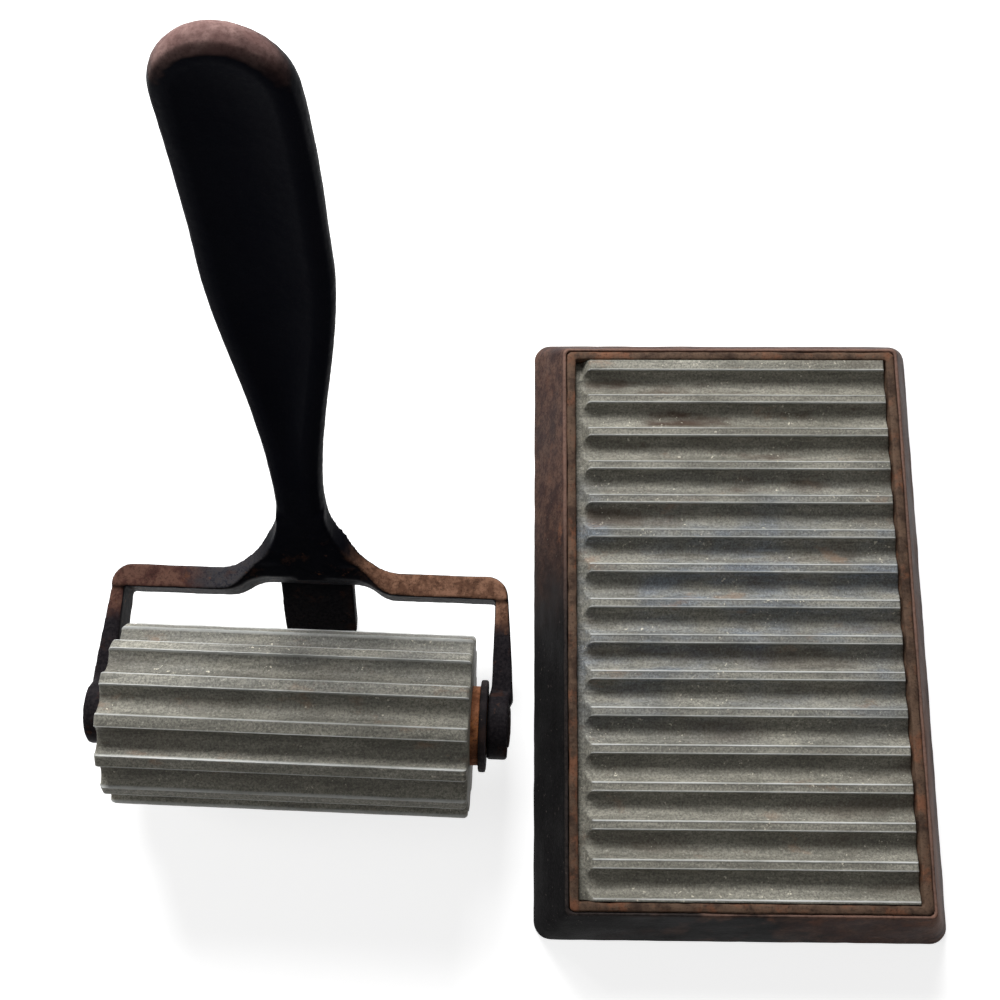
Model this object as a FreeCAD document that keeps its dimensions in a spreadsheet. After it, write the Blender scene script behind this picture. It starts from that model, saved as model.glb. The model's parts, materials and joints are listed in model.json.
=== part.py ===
"""Roller fluting iron: a fluted roller in a forked handle, and the fluted bed that it rolls on.

The bed lies on the table with its length along Y. The hand tool stands to its left, on the
roller and on the tongue behind it. The origin is on the table, in the middle of the space that
the two take up together. Lengths are in millimetres.
"""
import FreeCAD, Part
import math
import os
import Sketcher
from FreeCAD import Placement, Rotation, Vector

# Driving dimensions, written into the spreadsheet under these names
SIZES = {
    # Cast base of the bed
    "base_length": 146.0,  # skirt at the table, along Y
    "base_width": 95.25,  # skirt at the table, along X
    "base_height": 16.75,  # top edge of the skirt above the table
    "skirt_flare": 7.1,  # how far the skirt leans out on its way down
    "ground_corner": 8.0,  # corner radius at the table
    "edge_corner": 1.2,  # corner radius at the top edge
    "skirt_wall": 4.0,  # skirt thickness, measured level
    "deck_thickness": 4.0,  # deck that carries the tray
    "edge_width": 0.5,  # flat left on the top edge
    # Iron tray let into the base
    "tray_gap": 0.25,  # dark gap between tray and skirt
    "tray_thickness": 6.5,  # deck to the skirt's top edge
    "tray_floor": 2.0,  # tray under the plate
    "tray_rim": 2.0,  # rusty strip round the plate
    "rim_rise": 0.15,  # tray rim above the skirt's top edge
    # Fluted plate
    "plate_gap": 0.1,  # play between plate and tray rim
    "ridge_pitch": 8.32,  # ridge to ridge along the bed
    "flute_count": 15,  # flutes in the plate
    "first_ridge": 1.6,  # far end of the plate to the first ridge
    "ridge_rise": 0.3,  # ridge tops above the skirt's top edge
    "flute_depth": 2.7,  # depth of a flute, on plate and roller alike
    "flute_radius": 3.25,  # radius of a flute's hollow
    "ridge_round": 0.6,  # rounding of the ridges and teeth
    "plate_border": 0.9,  # flat border left of the ridges
    "bevel_run": 2.4,  # bevelled ends of the ridges on the left
    "right_bevel": 0.8,  # bevelled ends of the ridges on the right
    # Screws that hold tray and plate from below
    "screw_radius": 2.0,  # screw shank
    "screw_clearance": 0.1,  # screw in its hole
    "screw_head": 3.8,  # radius of the countersunk head
    "screw_bite": 1.5,  # screw end in the plate
    "screw_inset": 13.0,  # screw rows from the plate's long sides
    "screw_ridge": 2,  # screws sit under this ridge, counted from each end
    "slot_width": 0.9,  # screwdriver slot
    "slot_depth": 0.8,  # screwdriver slot
    # Roller
    "tooth_count": 14,  # teeth of the roller
    "addendum": 1.66,  # tooth tip outside the rolling circle
    "sleeve_length": 78.8,  # fluted sleeve
    "left_gap": 0.8,  # core left bare between flange and sleeve
    "right_gap": 1.8,  # core left bare between sleeve and collar
    "tooth_bevel": 0.6,  # bevel on the ends of the teeth
    "core_radius": 8.75,  # core that carries the sleeve
    "flange_radius": 10.2,  # core flange and collar
    "flange_thickness": 1.6,  # core flange and collar
    "spigot_radius": 6.5,  # core end that carries the collar
    "side_play": 0.2,  # flange to eye, at each end
    "axle_radius": 3.2,  # rod through the eyes
    "axle_clearance": 0.05,  # core bore round the rod
    "rivet_radius": 4.6,  # riveted end of the rod
    "rivet_height": 0.6,  # riveted end of the rod
    "roll_angle": 21.84,  # turn of the roller as it stands, degrees
    # Fork
    "eye_thickness": 4.5,  # eye along the rod
    "eye_radius": 7.3,  # eye round the rod
    "arm_offset": 0.5,  # arm's inner face outside the eye's
    "arm_root": 2.9,  # arm thickness at the crossbar, beyond the corner
    "arm_middle": 4.0,  # arm thickness half way
    "arm_end": 4.9,  # arm thickness at the eye
    "arm_top": 21.2,  # arm's upper edge above the table
    "bar_front": 28.4,  # axle to the crossbar's front face
    "bar_depth": 5.3,  # crossbar, front to back
    "bar_bottom": 13.4,  # crossbar's lower edge above the table
    "bar_top": 22.0,  # crossbar's upper edge above the table
    "bar_corner": 4.6,  # outer corner of crossbar and arm
    "bar_setback": 3.4,  # how far the crossbar draws back in the middle
    "setback_from": 20.0,  # middle to where the crossbar starts to draw back
    "setback_to": 10.0,  # middle to where it has drawn back fully
    "wing_radius": 18.0,  # hollow sweep from crossbar to neck
    # Tongue behind the roller
    "tongue_width": 17.4,  # tongue, side to side
    "tongue_thickness": 3.4,  # tongue, front to back
    "tongue_lean": 54.5,  # tongue above the level, degrees
    "tongue_root": 2.0,  # tongue let into the crossbar
    # Handle
    "neck_width": 10.6,  # narrowest part, above the crossbar
    "paddle_width": 24.2,  # broadest part
    "handle_thickness": 6.5,  # neck and paddle
    "neck_lean": 60.4,  # neck above the level, degrees
    "waist_lean": 52.6,  # flattest part of the handle, degrees
    "tip_lean": 78.2,  # handle at its tip, degrees
    "neck_run": 20.0,  # straight neck above the crossbar's top
    "waist_run": 19.5,  # length over which the handle lies back
    "paddle_run": 93.0,  # length over which the paddle rises again
    "spread_start": 43.0,  # height at which the neck starts to spread
    "spread_end": 91.0,  # height at which the paddle is at its broadest
    "handle_round": 2.4,  # rounded edges of neck and paddle
    "dish_margin": 3.9,  # rim of the dished face
    "dish_depth": 2.0,  # depth of the dished face
    "dish_start": 46.0,  # height at which the dish begins
    "dish_full": 70.0,  # height at which the dish is at its full depth
    "dish_fade": 0.03,  # hollow left where the dish has faded out
    "handle_sections": 14,  # spans of the handle's loft
    # Where the two stand
    "bed_x": 50.3,  # bed's middle, across
    "bed_y": -0.15,  # bed's middle, along
    "tool_x": -50.2,  # fork's middle, across
    "tool_y": -24.25,  # axle, along
    "tool_yaw": -1.83,  # tool turned about the upright, degrees
}

doc = FreeCAD.newDocument("fluting_iron")
sheet = doc.addObject("Spreadsheet::Sheet", "sizes")
for row, (alias, amount) in enumerate(SIZES.items(), 1):
    sheet.set("A%d" % row, alias.replace("_", " "))
    sheet.set("B%d" % row, str(amount))
    sheet.setAlias("B%d" % row, alias)
doc.recompute()


def get(alias):
    """Read a driving dimension back from the spreadsheet."""
    return float(sheet.get(alias))


# Sizes that follow from the driving ones, written as spreadsheet expressions
EDGE_WIDTH = "(sizes.base_width - 2 * sizes.skirt_flare)"
EDGE_LENGTH = "(sizes.base_length - 2 * sizes.skirt_flare)"
RECESS_WIDTH = "(%s - 2 * sizes.edge_width)" % EDGE_WIDTH
RECESS_LENGTH = "(%s - 2 * sizes.edge_width)" % EDGE_LENGTH
TRAY_WIDTH = "(%s - 2 * sizes.tray_gap)" % RECESS_WIDTH
TRAY_LENGTH = "(%s - 2 * sizes.tray_gap)" % RECESS_LENGTH
SEAT_WIDTH = "(%s - 2 * sizes.tray_rim)" % TRAY_WIDTH
SEAT_LENGTH = "(%s - 2 * sizes.tray_rim)" % TRAY_LENGTH
PLATE_WIDTH = "(%s - 2 * sizes.plate_gap)" % SEAT_WIDTH
PLATE_LENGTH = "(%s - 2 * sizes.plate_gap)" % SEAT_LENGTH
DECK_TOP = "(sizes.base_height - sizes.tray_thickness)"
DECK_BOTTOM = "(%s - sizes.deck_thickness)" % DECK_TOP
PLATE_BOTTOM = "(%s + sizes.tray_floor)" % DECK_TOP
RIDGE_TOP = "(sizes.base_height + sizes.ridge_rise)"
FLUTE_FLOOR = "(%s - sizes.flute_depth)" % RIDGE_TOP
SCREW_X = "(%s / 2 - sizes.screw_inset)" % PLATE_WIDTH
FAR_RIDGE = "(%s / 2 - sizes.first_ridge)" % PLATE_LENGTH
SCREW_FAR_Y = "(%s - (sizes.screw_ridge - 1) * sizes.ridge_pitch)" % FAR_RIDGE
SCREW_NEAR_Y = "(%s - (sizes.flute_count - sizes.screw_ridge) * sizes.ridge_pitch)" % FAR_RIDGE
SCREW_HOLE = "(sizes.screw_radius + sizes.screw_clearance)"
TIP_RADIUS = "(sizes.ridge_pitch * sizes.tooth_count / (2 * pi) + sizes.addendum)"
CORE_END = "((sizes.sleeve_length + sizes.left_gap + sizes.right_gap) / 2 + sizes.flange_thickness)"
SLEEVE_START = "(sizes.flange_thickness + sizes.left_gap - %s)" % CORE_END
EYE_INSIDE = "(%s + sizes.side_play)" % CORE_END
EYE_OUTSIDE = "(%s + sizes.eye_thickness)" % EYE_INSIDE


# Helpers for bodies and sketches

def new_body(name):
    """Start a body whose label names the piece."""
    body = doc.addObject("PartDesign::Body", name)
    body.Label = name
    return body


def new_sketch(body, name, role, height=None):
    """Attach a sketch to one of the body's own planes, raised by an expression."""
    sketch = body.newObject("Sketcher::SketchObject", name)
    plane = [item for item in body.Origin.OriginFeatures if item.Role == role][0]
    sketch.AttachmentSupport = [(plane, "")]
    sketch.MapMode = "FlatFace"
    if height is not None:
        sketch.setExpression("AttachmentOffset.Base.z", height)
    return sketch


def value(expression):
    """Work out an expression of spreadsheet sizes."""
    return float(sheet.evalExpression(expression))


def bind(sketch, constraint, name, expression):
    """Add a named constraint and tie it to the spreadsheet."""
    index = sketch.addConstraint(constraint)
    sketch.renameConstraint(index, name)
    sketch.setExpression("Constraints." + name, expression)


def draw_circle(sketch, radius, x=None, y=None, tag="hole"):
    """Draw a circle at the origin, or at a place given by expressions."""
    centre = Vector(value(x) if x else 0, value(y) if y else 0, 0)
    circle = sketch.addGeometry(Part.Circle(centre, Vector(0, 0, 1), value(radius)), False)
    bind(sketch, Sketcher.Constraint("Radius", circle, value(radius)), tag + "_radius", radius)
    if x is None and y is None:
        sketch.addConstraint(Sketcher.Constraint("Coincident", circle, 3, -1, 1))
        return
    for axis, place, mark in (("DistanceX", x, "_x"), ("DistanceY", y, "_y")):
        if place is None:
            on_axis = "Vertical" if axis == "DistanceX" else "Horizontal"
            sketch.addConstraint(Sketcher.Constraint(on_axis, circle, 3, -1, 1))
        else:
            bind(sketch, Sketcher.Constraint(axis, -1, 1, circle, 3, value(place)), tag + mark, place)


def draw_rounded_rectangle(sketch, width, length, radius):
    """Draw a rectangle about the origin with rounded corners, X by Y."""
    half_x = value(width) / 2
    half_y = value(length) / 2
    corner = value(radius)
    lines = []
    arcs = []
    turns = ((1, 1), (-1, 1), (-1, -1), (1, -1))
    for index, (sx, sy) in enumerate(turns):
        centre = Vector(sx * (half_x - corner), sy * (half_y - corner), 0)
        start = math.pi / 2 * index
        circle = Part.Circle(centre, Vector(0, 0, 1), corner)
        arc = Part.ArcOfCircle(circle, start, start + math.pi / 2)
        arcs.append(sketch.addGeometry(arc, False))
    for index in range(4):
        here = sketch.Geometry[arcs[index]].EndPoint
        there = sketch.Geometry[arcs[(index + 1) % 4]].StartPoint
        lines.append(sketch.addGeometry(Part.LineSegment(here, there), False))
    for index in range(4):
        following = arcs[(index + 1) % 4]
        sketch.addConstraint(Sketcher.Constraint("Tangent", arcs[index], 2, lines[index], 1))
        sketch.addConstraint(Sketcher.Constraint("Tangent", lines[index], 2, following, 1))
        level = "Horizontal" if index % 2 == 0 else "Vertical"
        sketch.addConstraint(Sketcher.Constraint(level, lines[index]))
    for index in (1, 2, 3):
        sketch.addConstraint(Sketcher.Constraint("Equal", arcs[0], arcs[index]))
    sketch.addConstraint(Sketcher.Constraint("Symmetric", arcs[0], 3, arcs[2], 3, -1, 1))
    bind(sketch, Sketcher.Constraint("Radius", arcs[0], corner), "corner", radius)
    across = Sketcher.Constraint("DistanceX", lines[1], 1, lines[3], 1, 2 * half_x)
    bind(sketch, across, "width", width)
    along = Sketcher.Constraint("DistanceY", lines[2], 1, lines[0], 1, 2 * half_y)
    bind(sketch, along, "length", length)


def draw_polygon(sketch, corners, tag):
    """Draw a closed polygon whose corners are pairs of expressions."""
    points = [Vector(value(x), value(y), 0) for x, y in corners]
    count = len(points)
    for index in range(count):
        line = Part.LineSegment(points[index], points[(index + 1) % count])
        sketch.addGeometry(line, False)
    for index in range(count):
        joint = Sketcher.Constraint("Coincident", index, 2, (index + 1) % count, 1)
        sketch.addConstraint(joint)
    for index, (x, y) in enumerate(corners):
        place_x = Sketcher.Constraint("DistanceX", -1, 1, index, 1, value(x))
        place_y = Sketcher.Constraint("DistanceY", -1, 1, index, 1, value(y))
        bind(sketch, place_x, "%s_x%d" % (tag, index), x)
        bind(sketch, place_y, "%s_y%d" % (tag, index), y)


def pad(body, sketch, name, length, reverse=False):
    """Raise a sketch into the solid."""
    feature = body.newObject("PartDesign::Pad", name)
    feature.Profile = sketch
    feature.Reversed = reverse
    feature.setExpression("Length", length)
    return feature


def pocket(body, sketch, name, length=None, reverse=False, both_ways=False):
    """Cut a sketch out of the solid, to a depth or right through."""
    feature = body.newObject("PartDesign::Pocket", name)
    feature.Profile = sketch
    feature.Reversed = reverse
    feature.Midplane = both_ways
    if length is None:
        feature.Type = "ThroughAll"
    else:
        feature.setExpression("Length", length)
    return feature


def loft(body, kind, name, lower, upper):
    """Join two outlines with straight flanks."""
    feature = body.newObject("PartDesign::" + kind, name)
    feature.Profile = lower
    feature.Sections = [upper]
    feature.Ruled = True
    return feature


def dress_edges(body, kind, name, base, chosen, amount):
    """Fillet or chamfer the chosen edges of a feature."""
    edges = ["Edge%d" % (i + 1) for i, edge in enumerate(base.Shape.Edges) if chosen(edge)]
    feature = body.newObject("PartDesign::" + kind, name)
    feature.Base = (base, edges)
    feature.setExpression("Radius" if kind == "Fillet" else "Size", amount)
    return feature


def is_circle(edge, radius):
    """Say whether an edge is a full circle of this radius."""
    return (isinstance(edge.Curve, Part.Circle) and edge.isClosed()
            and abs(edge.Curve.Radius - radius) < 1e-6)


def screw_places():
    """Give the four screws' places as pairs of expressions."""
    return [(side + SCREW_X, y) for side in ("", "-") for y in (SCREW_FAR_Y, SCREW_NEAR_Y)]


def drill_screw_holes(body, name, height, depth, radius, reverse):
    """Cut the four screw holes from a level upwards or downwards."""
    sketch = new_sketch(body, name + "_places", "XY_Plane", height)
    for index, (x, y) in enumerate(screw_places()):
        draw_circle(sketch, radius, x, y, "screw%d" % index)
    doc.recompute()
    return pocket(body, sketch, name, depth, reverse)


# Cast base: flared skirt, hollow below, with a recess for the tray

def make_base():
    body = new_body("base_casting")
    ground = new_sketch(body, "ground_outline", "XY_Plane")
    draw_rounded_rectangle(ground, "sizes.base_width", "sizes.base_length", "sizes.ground_corner")
    edge = new_sketch(body, "edge_outline", "XY_Plane", "sizes.base_height")
    draw_rounded_rectangle(edge, EDGE_WIDTH, EDGE_LENGTH, "sizes.edge_corner")
    loft(body, "AdditiveLoft", "skirt", ground, edge)
    mouth = new_sketch(body, "cavity_mouth", "XY_Plane")
    mouth_width = "(sizes.base_width - 2 * sizes.skirt_wall)"
    mouth_length = "(sizes.base_length - 2 * sizes.skirt_wall)"
    inner_corner = "(sizes.ground_corner - sizes.skirt_wall)"
    draw_rounded_rectangle(mouth, mouth_width, mouth_length, inner_corner)
    roof = new_sketch(body, "cavity_roof", "XY_Plane", DECK_BOTTOM)
    lean = "2 * sizes.skirt_flare * %s / sizes.base_height" % DECK_BOTTOM
    draw_rounded_rectangle(roof, "(%s - %s)" % (mouth_width, lean),
                           "(%s - %s)" % (mouth_length, lean), inner_corner)
    loft(body, "SubtractiveLoft", "cavity", mouth, roof)
    recess = new_sketch(body, "recess_outline", "XY_Plane", "sizes.base_height")
    draw_rounded_rectangle(recess, RECESS_WIDTH, RECESS_LENGTH, "sizes.edge_corner")
    pocket(body, recess, "tray_recess", "sizes.tray_thickness")
    drilled = drill_screw_holes(body, "screw_holes", DECK_BOTTOM, "sizes.deck_thickness",
                                SCREW_HOLE, True)
    doc.recompute()
    hole = value(SCREW_HOLE)
    level = value(DECK_BOTTOM)
    dress_edges(body, "Chamfer", "countersinks", drilled,
                lambda e: is_circle(e, hole) and abs(e.CenterOfMass.z - level) < 1e-6,
                "sizes.screw_head - sizes.screw_radius")
    return body


# Iron tray: a floor with an upstanding rim

def make_tray():
    body = new_body("bed_tray")
    outline = new_sketch(body, "tray_outline", "XY_Plane", DECK_TOP)
    draw_rounded_rectangle(outline, TRAY_WIDTH, TRAY_LENGTH, "sizes.edge_corner")
    pad(body, outline, "tray_block", "sizes.tray_thickness + sizes.rim_rise")
    seat = new_sketch(body, "seat_outline", "XY_Plane", PLATE_BOTTOM)
    draw_rounded_rectangle(seat, SEAT_WIDTH, SEAT_LENGTH, "sizes.edge_corner / 2")
    doc.recompute()
    pocket(body, seat, "plate_seat", "sizes.tray_thickness", reverse=True)
    drill_screw_holes(body, "screw_holes_tray", DECK_TOP, "sizes.tray_floor", SCREW_HOLE, True)
    return body


# Fluted plate: hollows cut across a slab, ridge ends bevelled at both sides

def make_plate():
    body = new_body("bed_plate")
    outline = new_sketch(body, "plate_outline", "XY_Plane", PLATE_BOTTOM)
    draw_rounded_rectangle(outline, PLATE_WIDTH, PLATE_LENGTH, "sizes.edge_corner / 2")
    pad(body, outline, "plate_block", "%s - %s" % (RIDGE_TOP, PLATE_BOTTOM))
    section = new_sketch(body, "flute_section", "YZ_Plane")
    draw_circle(section, "sizes.flute_radius", "(%s - sizes.ridge_pitch / 2)" % FAR_RIDGE,
                "(%s + sizes.flute_radius)" % FLUTE_FLOOR, "flute")
    doc.recompute()
    flute = pocket(body, section, "flute", "2 * sizes.base_width", both_ways=True)
    doc.recompute()
    flutes = body.newObject("PartDesign::LinearPattern", "flutes")
    flutes.Originals = [flute]
    flutes.Direction = (section, ["H_Axis"])
    flutes.Reversed = True
    flutes.Occurrences = int(get("flute_count"))
    flutes.setExpression("Occurrences", "sizes.flute_count")
    flutes.setExpression("Length", "sizes.ridge_pitch * (sizes.flute_count - 1)")
    body.Tip = flutes
    doc.recompute()
    top = value(RIDGE_TOP)
    half_length = value(PLATE_LENGTH) / 2
    rounded = dress_edges(body, "Fillet", "rounded_ridges", flutes,
                          lambda e: is_ridge_edge(e, top, half_length), "sizes.ridge_round")
    body.Tip = rounded
    doc.recompute()
    left = new_sketch(body, "end_bevels", "XZ_Plane")
    edge_x = "(%s / 2)" % PLATE_WIDTH
    above = "(%s + 1)" % RIDGE_TOP
    run = "sizes.bevel_run"
    border = "(-%s + sizes.plate_border)" % edge_x
    draw_polygon(left, [("-%s - 1" % edge_x, FLUTE_FLOOR), (border, FLUTE_FLOOR),
                        ("%s + %s * (sizes.flute_depth + 1) / sizes.flute_depth" % (border, run), above),
                        ("-%s - 1" % edge_x, above)], "left")
    pocket(body, left, "left_bevel", "2 * sizes.base_length", both_ways=True)
    doc.recompute()
    right = new_sketch(body, "right_bevels", "XZ_Plane")
    slope = "sizes.right_bevel / sizes.flute_depth"
    draw_polygon(right, [("%s + 1" % edge_x, FLUTE_FLOOR), (edge_x, FLUTE_FLOOR),
                         ("%s - %s * (sizes.flute_depth + 1)" % (edge_x, slope), above),
                         ("%s + 1" % edge_x, above)], "right")
    pocket(body, right, "right_bevel_cut", "2 * sizes.base_length", both_ways=True)
    drill_screw_holes(body, "screw_holes_plate", PLATE_BOTTOM, "sizes.screw_bite", SCREW_HOLE, True)
    return body


def is_ridge_edge(edge, top, half_length):
    """Pick the straight edges along the tops of the ridges."""
    if not isinstance(edge.Curve, (Part.Line, Part.LineSegment)):
        return False
    box = edge.BoundBox
    level = abs(box.ZMin - top) < 1e-6 and box.ZLength < 1e-6
    return level and box.YLength < 1e-6 and abs(abs(box.YMin) - half_length) > 1e-3


# Screws: countersunk heads, shanks and slots, four alike in one node

def make_screws():
    screws = []
    rise = "(sizes.screw_head - sizes.screw_radius)"
    for index, (x, y) in enumerate(screw_places()):
        head = doc.addObject("Part::Cone", "screw_head_%d" % index)
        head.setExpression("Radius1", "sizes.screw_head")
        head.setExpression("Radius2", "sizes.screw_radius")
        head.setExpression("Height", rise)
        shank = doc.addObject("Part::Cylinder", "screw_shank_%d" % index)
        shank.setExpression("Radius", "sizes.screw_radius")
        shank.setExpression("Height", "sizes.deck_thickness + sizes.tray_floor + sizes.screw_bite")
        for piece in (head, shank):
            piece.setExpression("Placement.Base.x", x)
            piece.setExpression("Placement.Base.y", y)
            piece.setExpression("Placement.Base.z", DECK_BOTTOM)
        whole = doc.addObject("Part::Fuse", "screw_%d" % index)
        whole.Base = head
        whole.Tool = shank
        slot = doc.addObject("Part::Box", "slot_%d" % index)
        slot.setExpression("Length", "2 * sizes.screw_head")
        slot.setExpression("Width", "sizes.slot_width")
        slot.setExpression("Height", "sizes.slot_depth")
        slot.setExpression("Placement.Base.x", "%s - sizes.screw_head" % x)
        slot.setExpression("Placement.Base.y", "%s - sizes.slot_width / 2" % y)
        slot.setExpression("Placement.Base.z", DECK_BOTTOM)
        slotted = doc.addObject("Part::Cut", "slotted_screw_%d" % index)
        slotted.Base = whole
        slotted.Tool = slot
        screws.append(slotted)
    group = doc.addObject("Part::Compound", "bed_screws")
    group.Label = "bed_screws"
    group.Links = screws
    return group


# Roller, built about the X axis and set into the fork by its placement

def make_sleeve():
    body = new_body("roller_sleeve")
    blank = new_sketch(body, "sleeve_blank", "YZ_Plane", SLEEVE_START)
    draw_circle(blank, TIP_RADIUS, tag="tip")
    blank_pad = pad(body, blank, "blank", "sizes.sleeve_length")
    doc.recompute()
    tip = value(TIP_RADIUS)
    dress_edges(body, "Chamfer", "tooth_ends", blank_pad,
                lambda e: is_circle(e, tip), "sizes.tooth_bevel")
    doc.recompute()
    section = new_sketch(body, "sleeve_flute_section", "YZ_Plane")
    draw_circle(section, "sizes.flute_radius", None,
                "(%s - sizes.flute_depth + sizes.flute_radius)" % TIP_RADIUS, "flute")
    flute = pocket(body, section, "sleeve_flute", "4 * %s" % EYE_INSIDE, both_ways=True)
    doc.recompute()
    flutes = body.newObject("PartDesign::PolarPattern", "sleeve_flutes")
    flutes.Originals = [flute]
    flutes.Axis = (section, ["N_Axis"])
    flutes.Angle = 360
    flutes.Occurrences = int(get("tooth_count"))
    flutes.setExpression("Occurrences", "sizes.tooth_count")
    body.Tip = flutes
    doc.recompute()
    half = value("sizes.sleeve_length") / 2
    rounded = dress_edges(body, "Fillet", "rounded_teeth", flutes,
                          lambda e: is_tooth_edge(e, tip, half), "sizes.ridge_round")
    body.Tip = rounded
    doc.recompute()
    bore = new_sketch(body, "sleeve_bore_outline", "YZ_Plane")
    draw_circle(bore, "sizes.core_radius", tag="bore")
    pocket(body, bore, "sleeve_bore", "4 * %s" % EYE_INSIDE, both_ways=True)
    return body


def is_tooth_edge(edge, tip, half):
    """Pick the long edges on either side of each tooth's land."""
    box = edge.BoundBox
    if box.XLength < half or box.YLength > 1e-6 or box.ZLength > 1e-6:
        return False
    return abs(math.hypot(box.YMin, box.ZMin) - tip) < 1e-4


def make_core():
    body = new_body("roller_core")
    flange = new_sketch(body, "core_flange_outline", "YZ_Plane", "-%s" % CORE_END)
    draw_circle(flange, "sizes.flange_radius", tag="flange")
    pad(body, flange, "core_flange", "sizes.flange_thickness")
    barrel = new_sketch(body, "core_outline", "YZ_Plane", "-%s" % CORE_END)
    draw_circle(barrel, "sizes.core_radius", tag="core")
    pad(body, barrel, "core_barrel", "2 * %s - sizes.flange_thickness" % CORE_END)
    spigot = new_sketch(body, "spigot_outline", "YZ_Plane", "-%s" % CORE_END)
    draw_circle(spigot, "sizes.spigot_radius", tag="spigot")
    pad(body, spigot, "core_spigot", "2 * %s" % CORE_END)
    bore = new_sketch(body, "core_bore_outline", "YZ_Plane")
    draw_circle(bore, "(sizes.axle_radius + sizes.axle_clearance)", tag="bore")
    doc.recompute()
    pocket(body, bore, "core_bore", "4 * %s" % EYE_INSIDE, both_ways=True)
    return body


def make_collar():
    body = new_body("core_collar")
    ring = new_sketch(body, "collar_outline", "YZ_Plane", "%s - sizes.flange_thickness" % CORE_END)
    draw_circle(ring, "sizes.flange_radius", tag="outside")
    draw_circle(ring, "sizes.spigot_radius", tag="inside")
    pad(body, ring, "collar_ring", "sizes.flange_thickness")
    return body


def make_axle():
    body = new_body("axle_rod")
    rod = new_sketch(body, "rod_outline", "YZ_Plane", "-%s" % EYE_OUTSIDE)
    draw_circle(rod, "sizes.axle_radius", tag="rod")
    pad(body, rod, "rod", "2 * %s" % EYE_OUTSIDE)
    doc.recompute()
    for side, reverse in (("right", False), ("left", True)):
        level = EYE_OUTSIDE if side == "right" else "-%s" % EYE_OUTSIDE
        head = new_sketch(body, side + "_rivet_outline", "YZ_Plane", level)
        draw_circle(head, "sizes.rivet_radius", tag="rivet")
        pad(body, head, side + "_rivet", "sizes.rivet_height", reverse)
    doc.recompute()
    last = body.Tip
    rivet = get("rivet_radius")
    outside = value(EYE_OUTSIDE) + get("rivet_height")
    dress_edges(body, "Chamfer", "beaten_rivets", last,
                lambda e: is_circle(e, rivet) and abs(abs(e.CenterOfMass.x) - outside) < 1e-6,
                "sizes.rivet_height * 0.8")
    return body


# Handle and fork: one casting, built from solids that follow the same sizes

def axle_height():
    """Height of the axle while the roller stands on the rounded edge of its lowest tooth."""
    step = 360 / get("tooth_count")
    tips = [get("roll_angle") + step * k for k in range(int(get("tooth_count")))]
    lowest = min(tips, key=lambda angle: abs(angle - 270))
    tip = value(TIP_RADIUS)
    edge = get("ridge_round")
    hollow = get("flute_radius")
    reach = tip - get("flute_depth") + hollow
    inner = tip - edge
    spread = (inner ** 2 + reach ** 2 - (hollow + edge) ** 2) / (2 * inner * reach)
    edge_angle = step / 2 - math.degrees(math.acos(spread))
    lean = max(0.0, abs(lowest - 270) - edge_angle)
    return inner * math.cos(math.radians(lean)) + edge


def spine_arcs():
    """Runs of the handle's middle line: length, lean at the start, lean at the end."""
    neck, waist, tip = [math.radians(get(name)) for name in ("neck_lean", "waist_lean", "tip_lean")]
    return [(get("neck_run"), neck, neck), (get("waist_run"), neck, waist),
            (get("paddle_run"), waist, tip)]


def spine_point(run):
    """Point of the handle's middle line and its lean, at a length above the crossbar's top."""
    neck = math.radians(get("neck_lean"))
    front = get("bar_front") + get("bar_setback")
    point = Vector(0, front + get("handle_thickness") / 2 / math.sin(neck), get("bar_top"))
    lean = neck
    left = run
    for length, start, end in spine_arcs():
        part = min(left, length)
        turn = (end - start) * part / length
        chord = part if turn == 0 else part * math.sin(turn / 2) / (turn / 2)
        point += Vector(0, math.cos(start + turn / 2), math.sin(start + turn / 2)) * chord
        lean = start + turn
        left -= part
        if left <= 0:
            break
    return point, lean


def smooth(value, start, end):
    """Ease from 0 to 1 between two heights."""
    part = min(1.0, max(0.0, (value - start) / (end - start)))
    return part * part * (3 - 2 * part)


def handle_half_width(height):
    """Half the handle's width at a height: narrow neck, then the broad paddle."""
    neck = get("neck_width") / 2
    paddle = get("paddle_width") / 2
    return neck + (paddle - neck) * smooth(height, get("spread_start"), get("spread_end"))


def half_section(run, sign):
    """Edges of one side of the handle's cross-section, from the bowl round to the back."""
    point, lean = spine_point(run)
    outward = Vector(0, -math.sin(lean), math.cos(lean))
    half_width = handle_half_width(point.z)
    half = get("handle_thickness") / 2
    corner = get("handle_round")
    side = half_width - corner
    rim = max(0.6 * side, half_width - get("dish_margin"))
    dish = get("dish_depth") * smooth(point.z, get("dish_start"), get("dish_full"))
    dish = max(dish, get("dish_fade"))

    def at(x, level):
        return point + Vector(sign * x, 0, 0) + outward * level

    bowl_radius = (rim ** 2 + dish ** 2) / (2 * dish)
    middle_x = bowl_radius * math.sin(math.asin(rim / bowl_radius) / 2)
    middle_dip = dish - bowl_radius + math.sqrt(bowl_radius ** 2 - middle_x ** 2)
    cut = corner * (1 - math.sqrt(0.5))
    outline = [(rim, half), (side, half), (half_width - cut, half - cut), (half_width, half - corner),
               (half_width, corner - half), (half_width - cut, cut - half), (side, -half), (0, -half)]
    points = [at(x, level) for x, level in outline]
    bowl = Part.Arc(at(0, half - dish), at(middle_x, half - middle_dip), points[0])
    return [bowl] + [Part.LineSegment(a, b) for a, b in zip(points[:-1], points[1:])]


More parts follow.
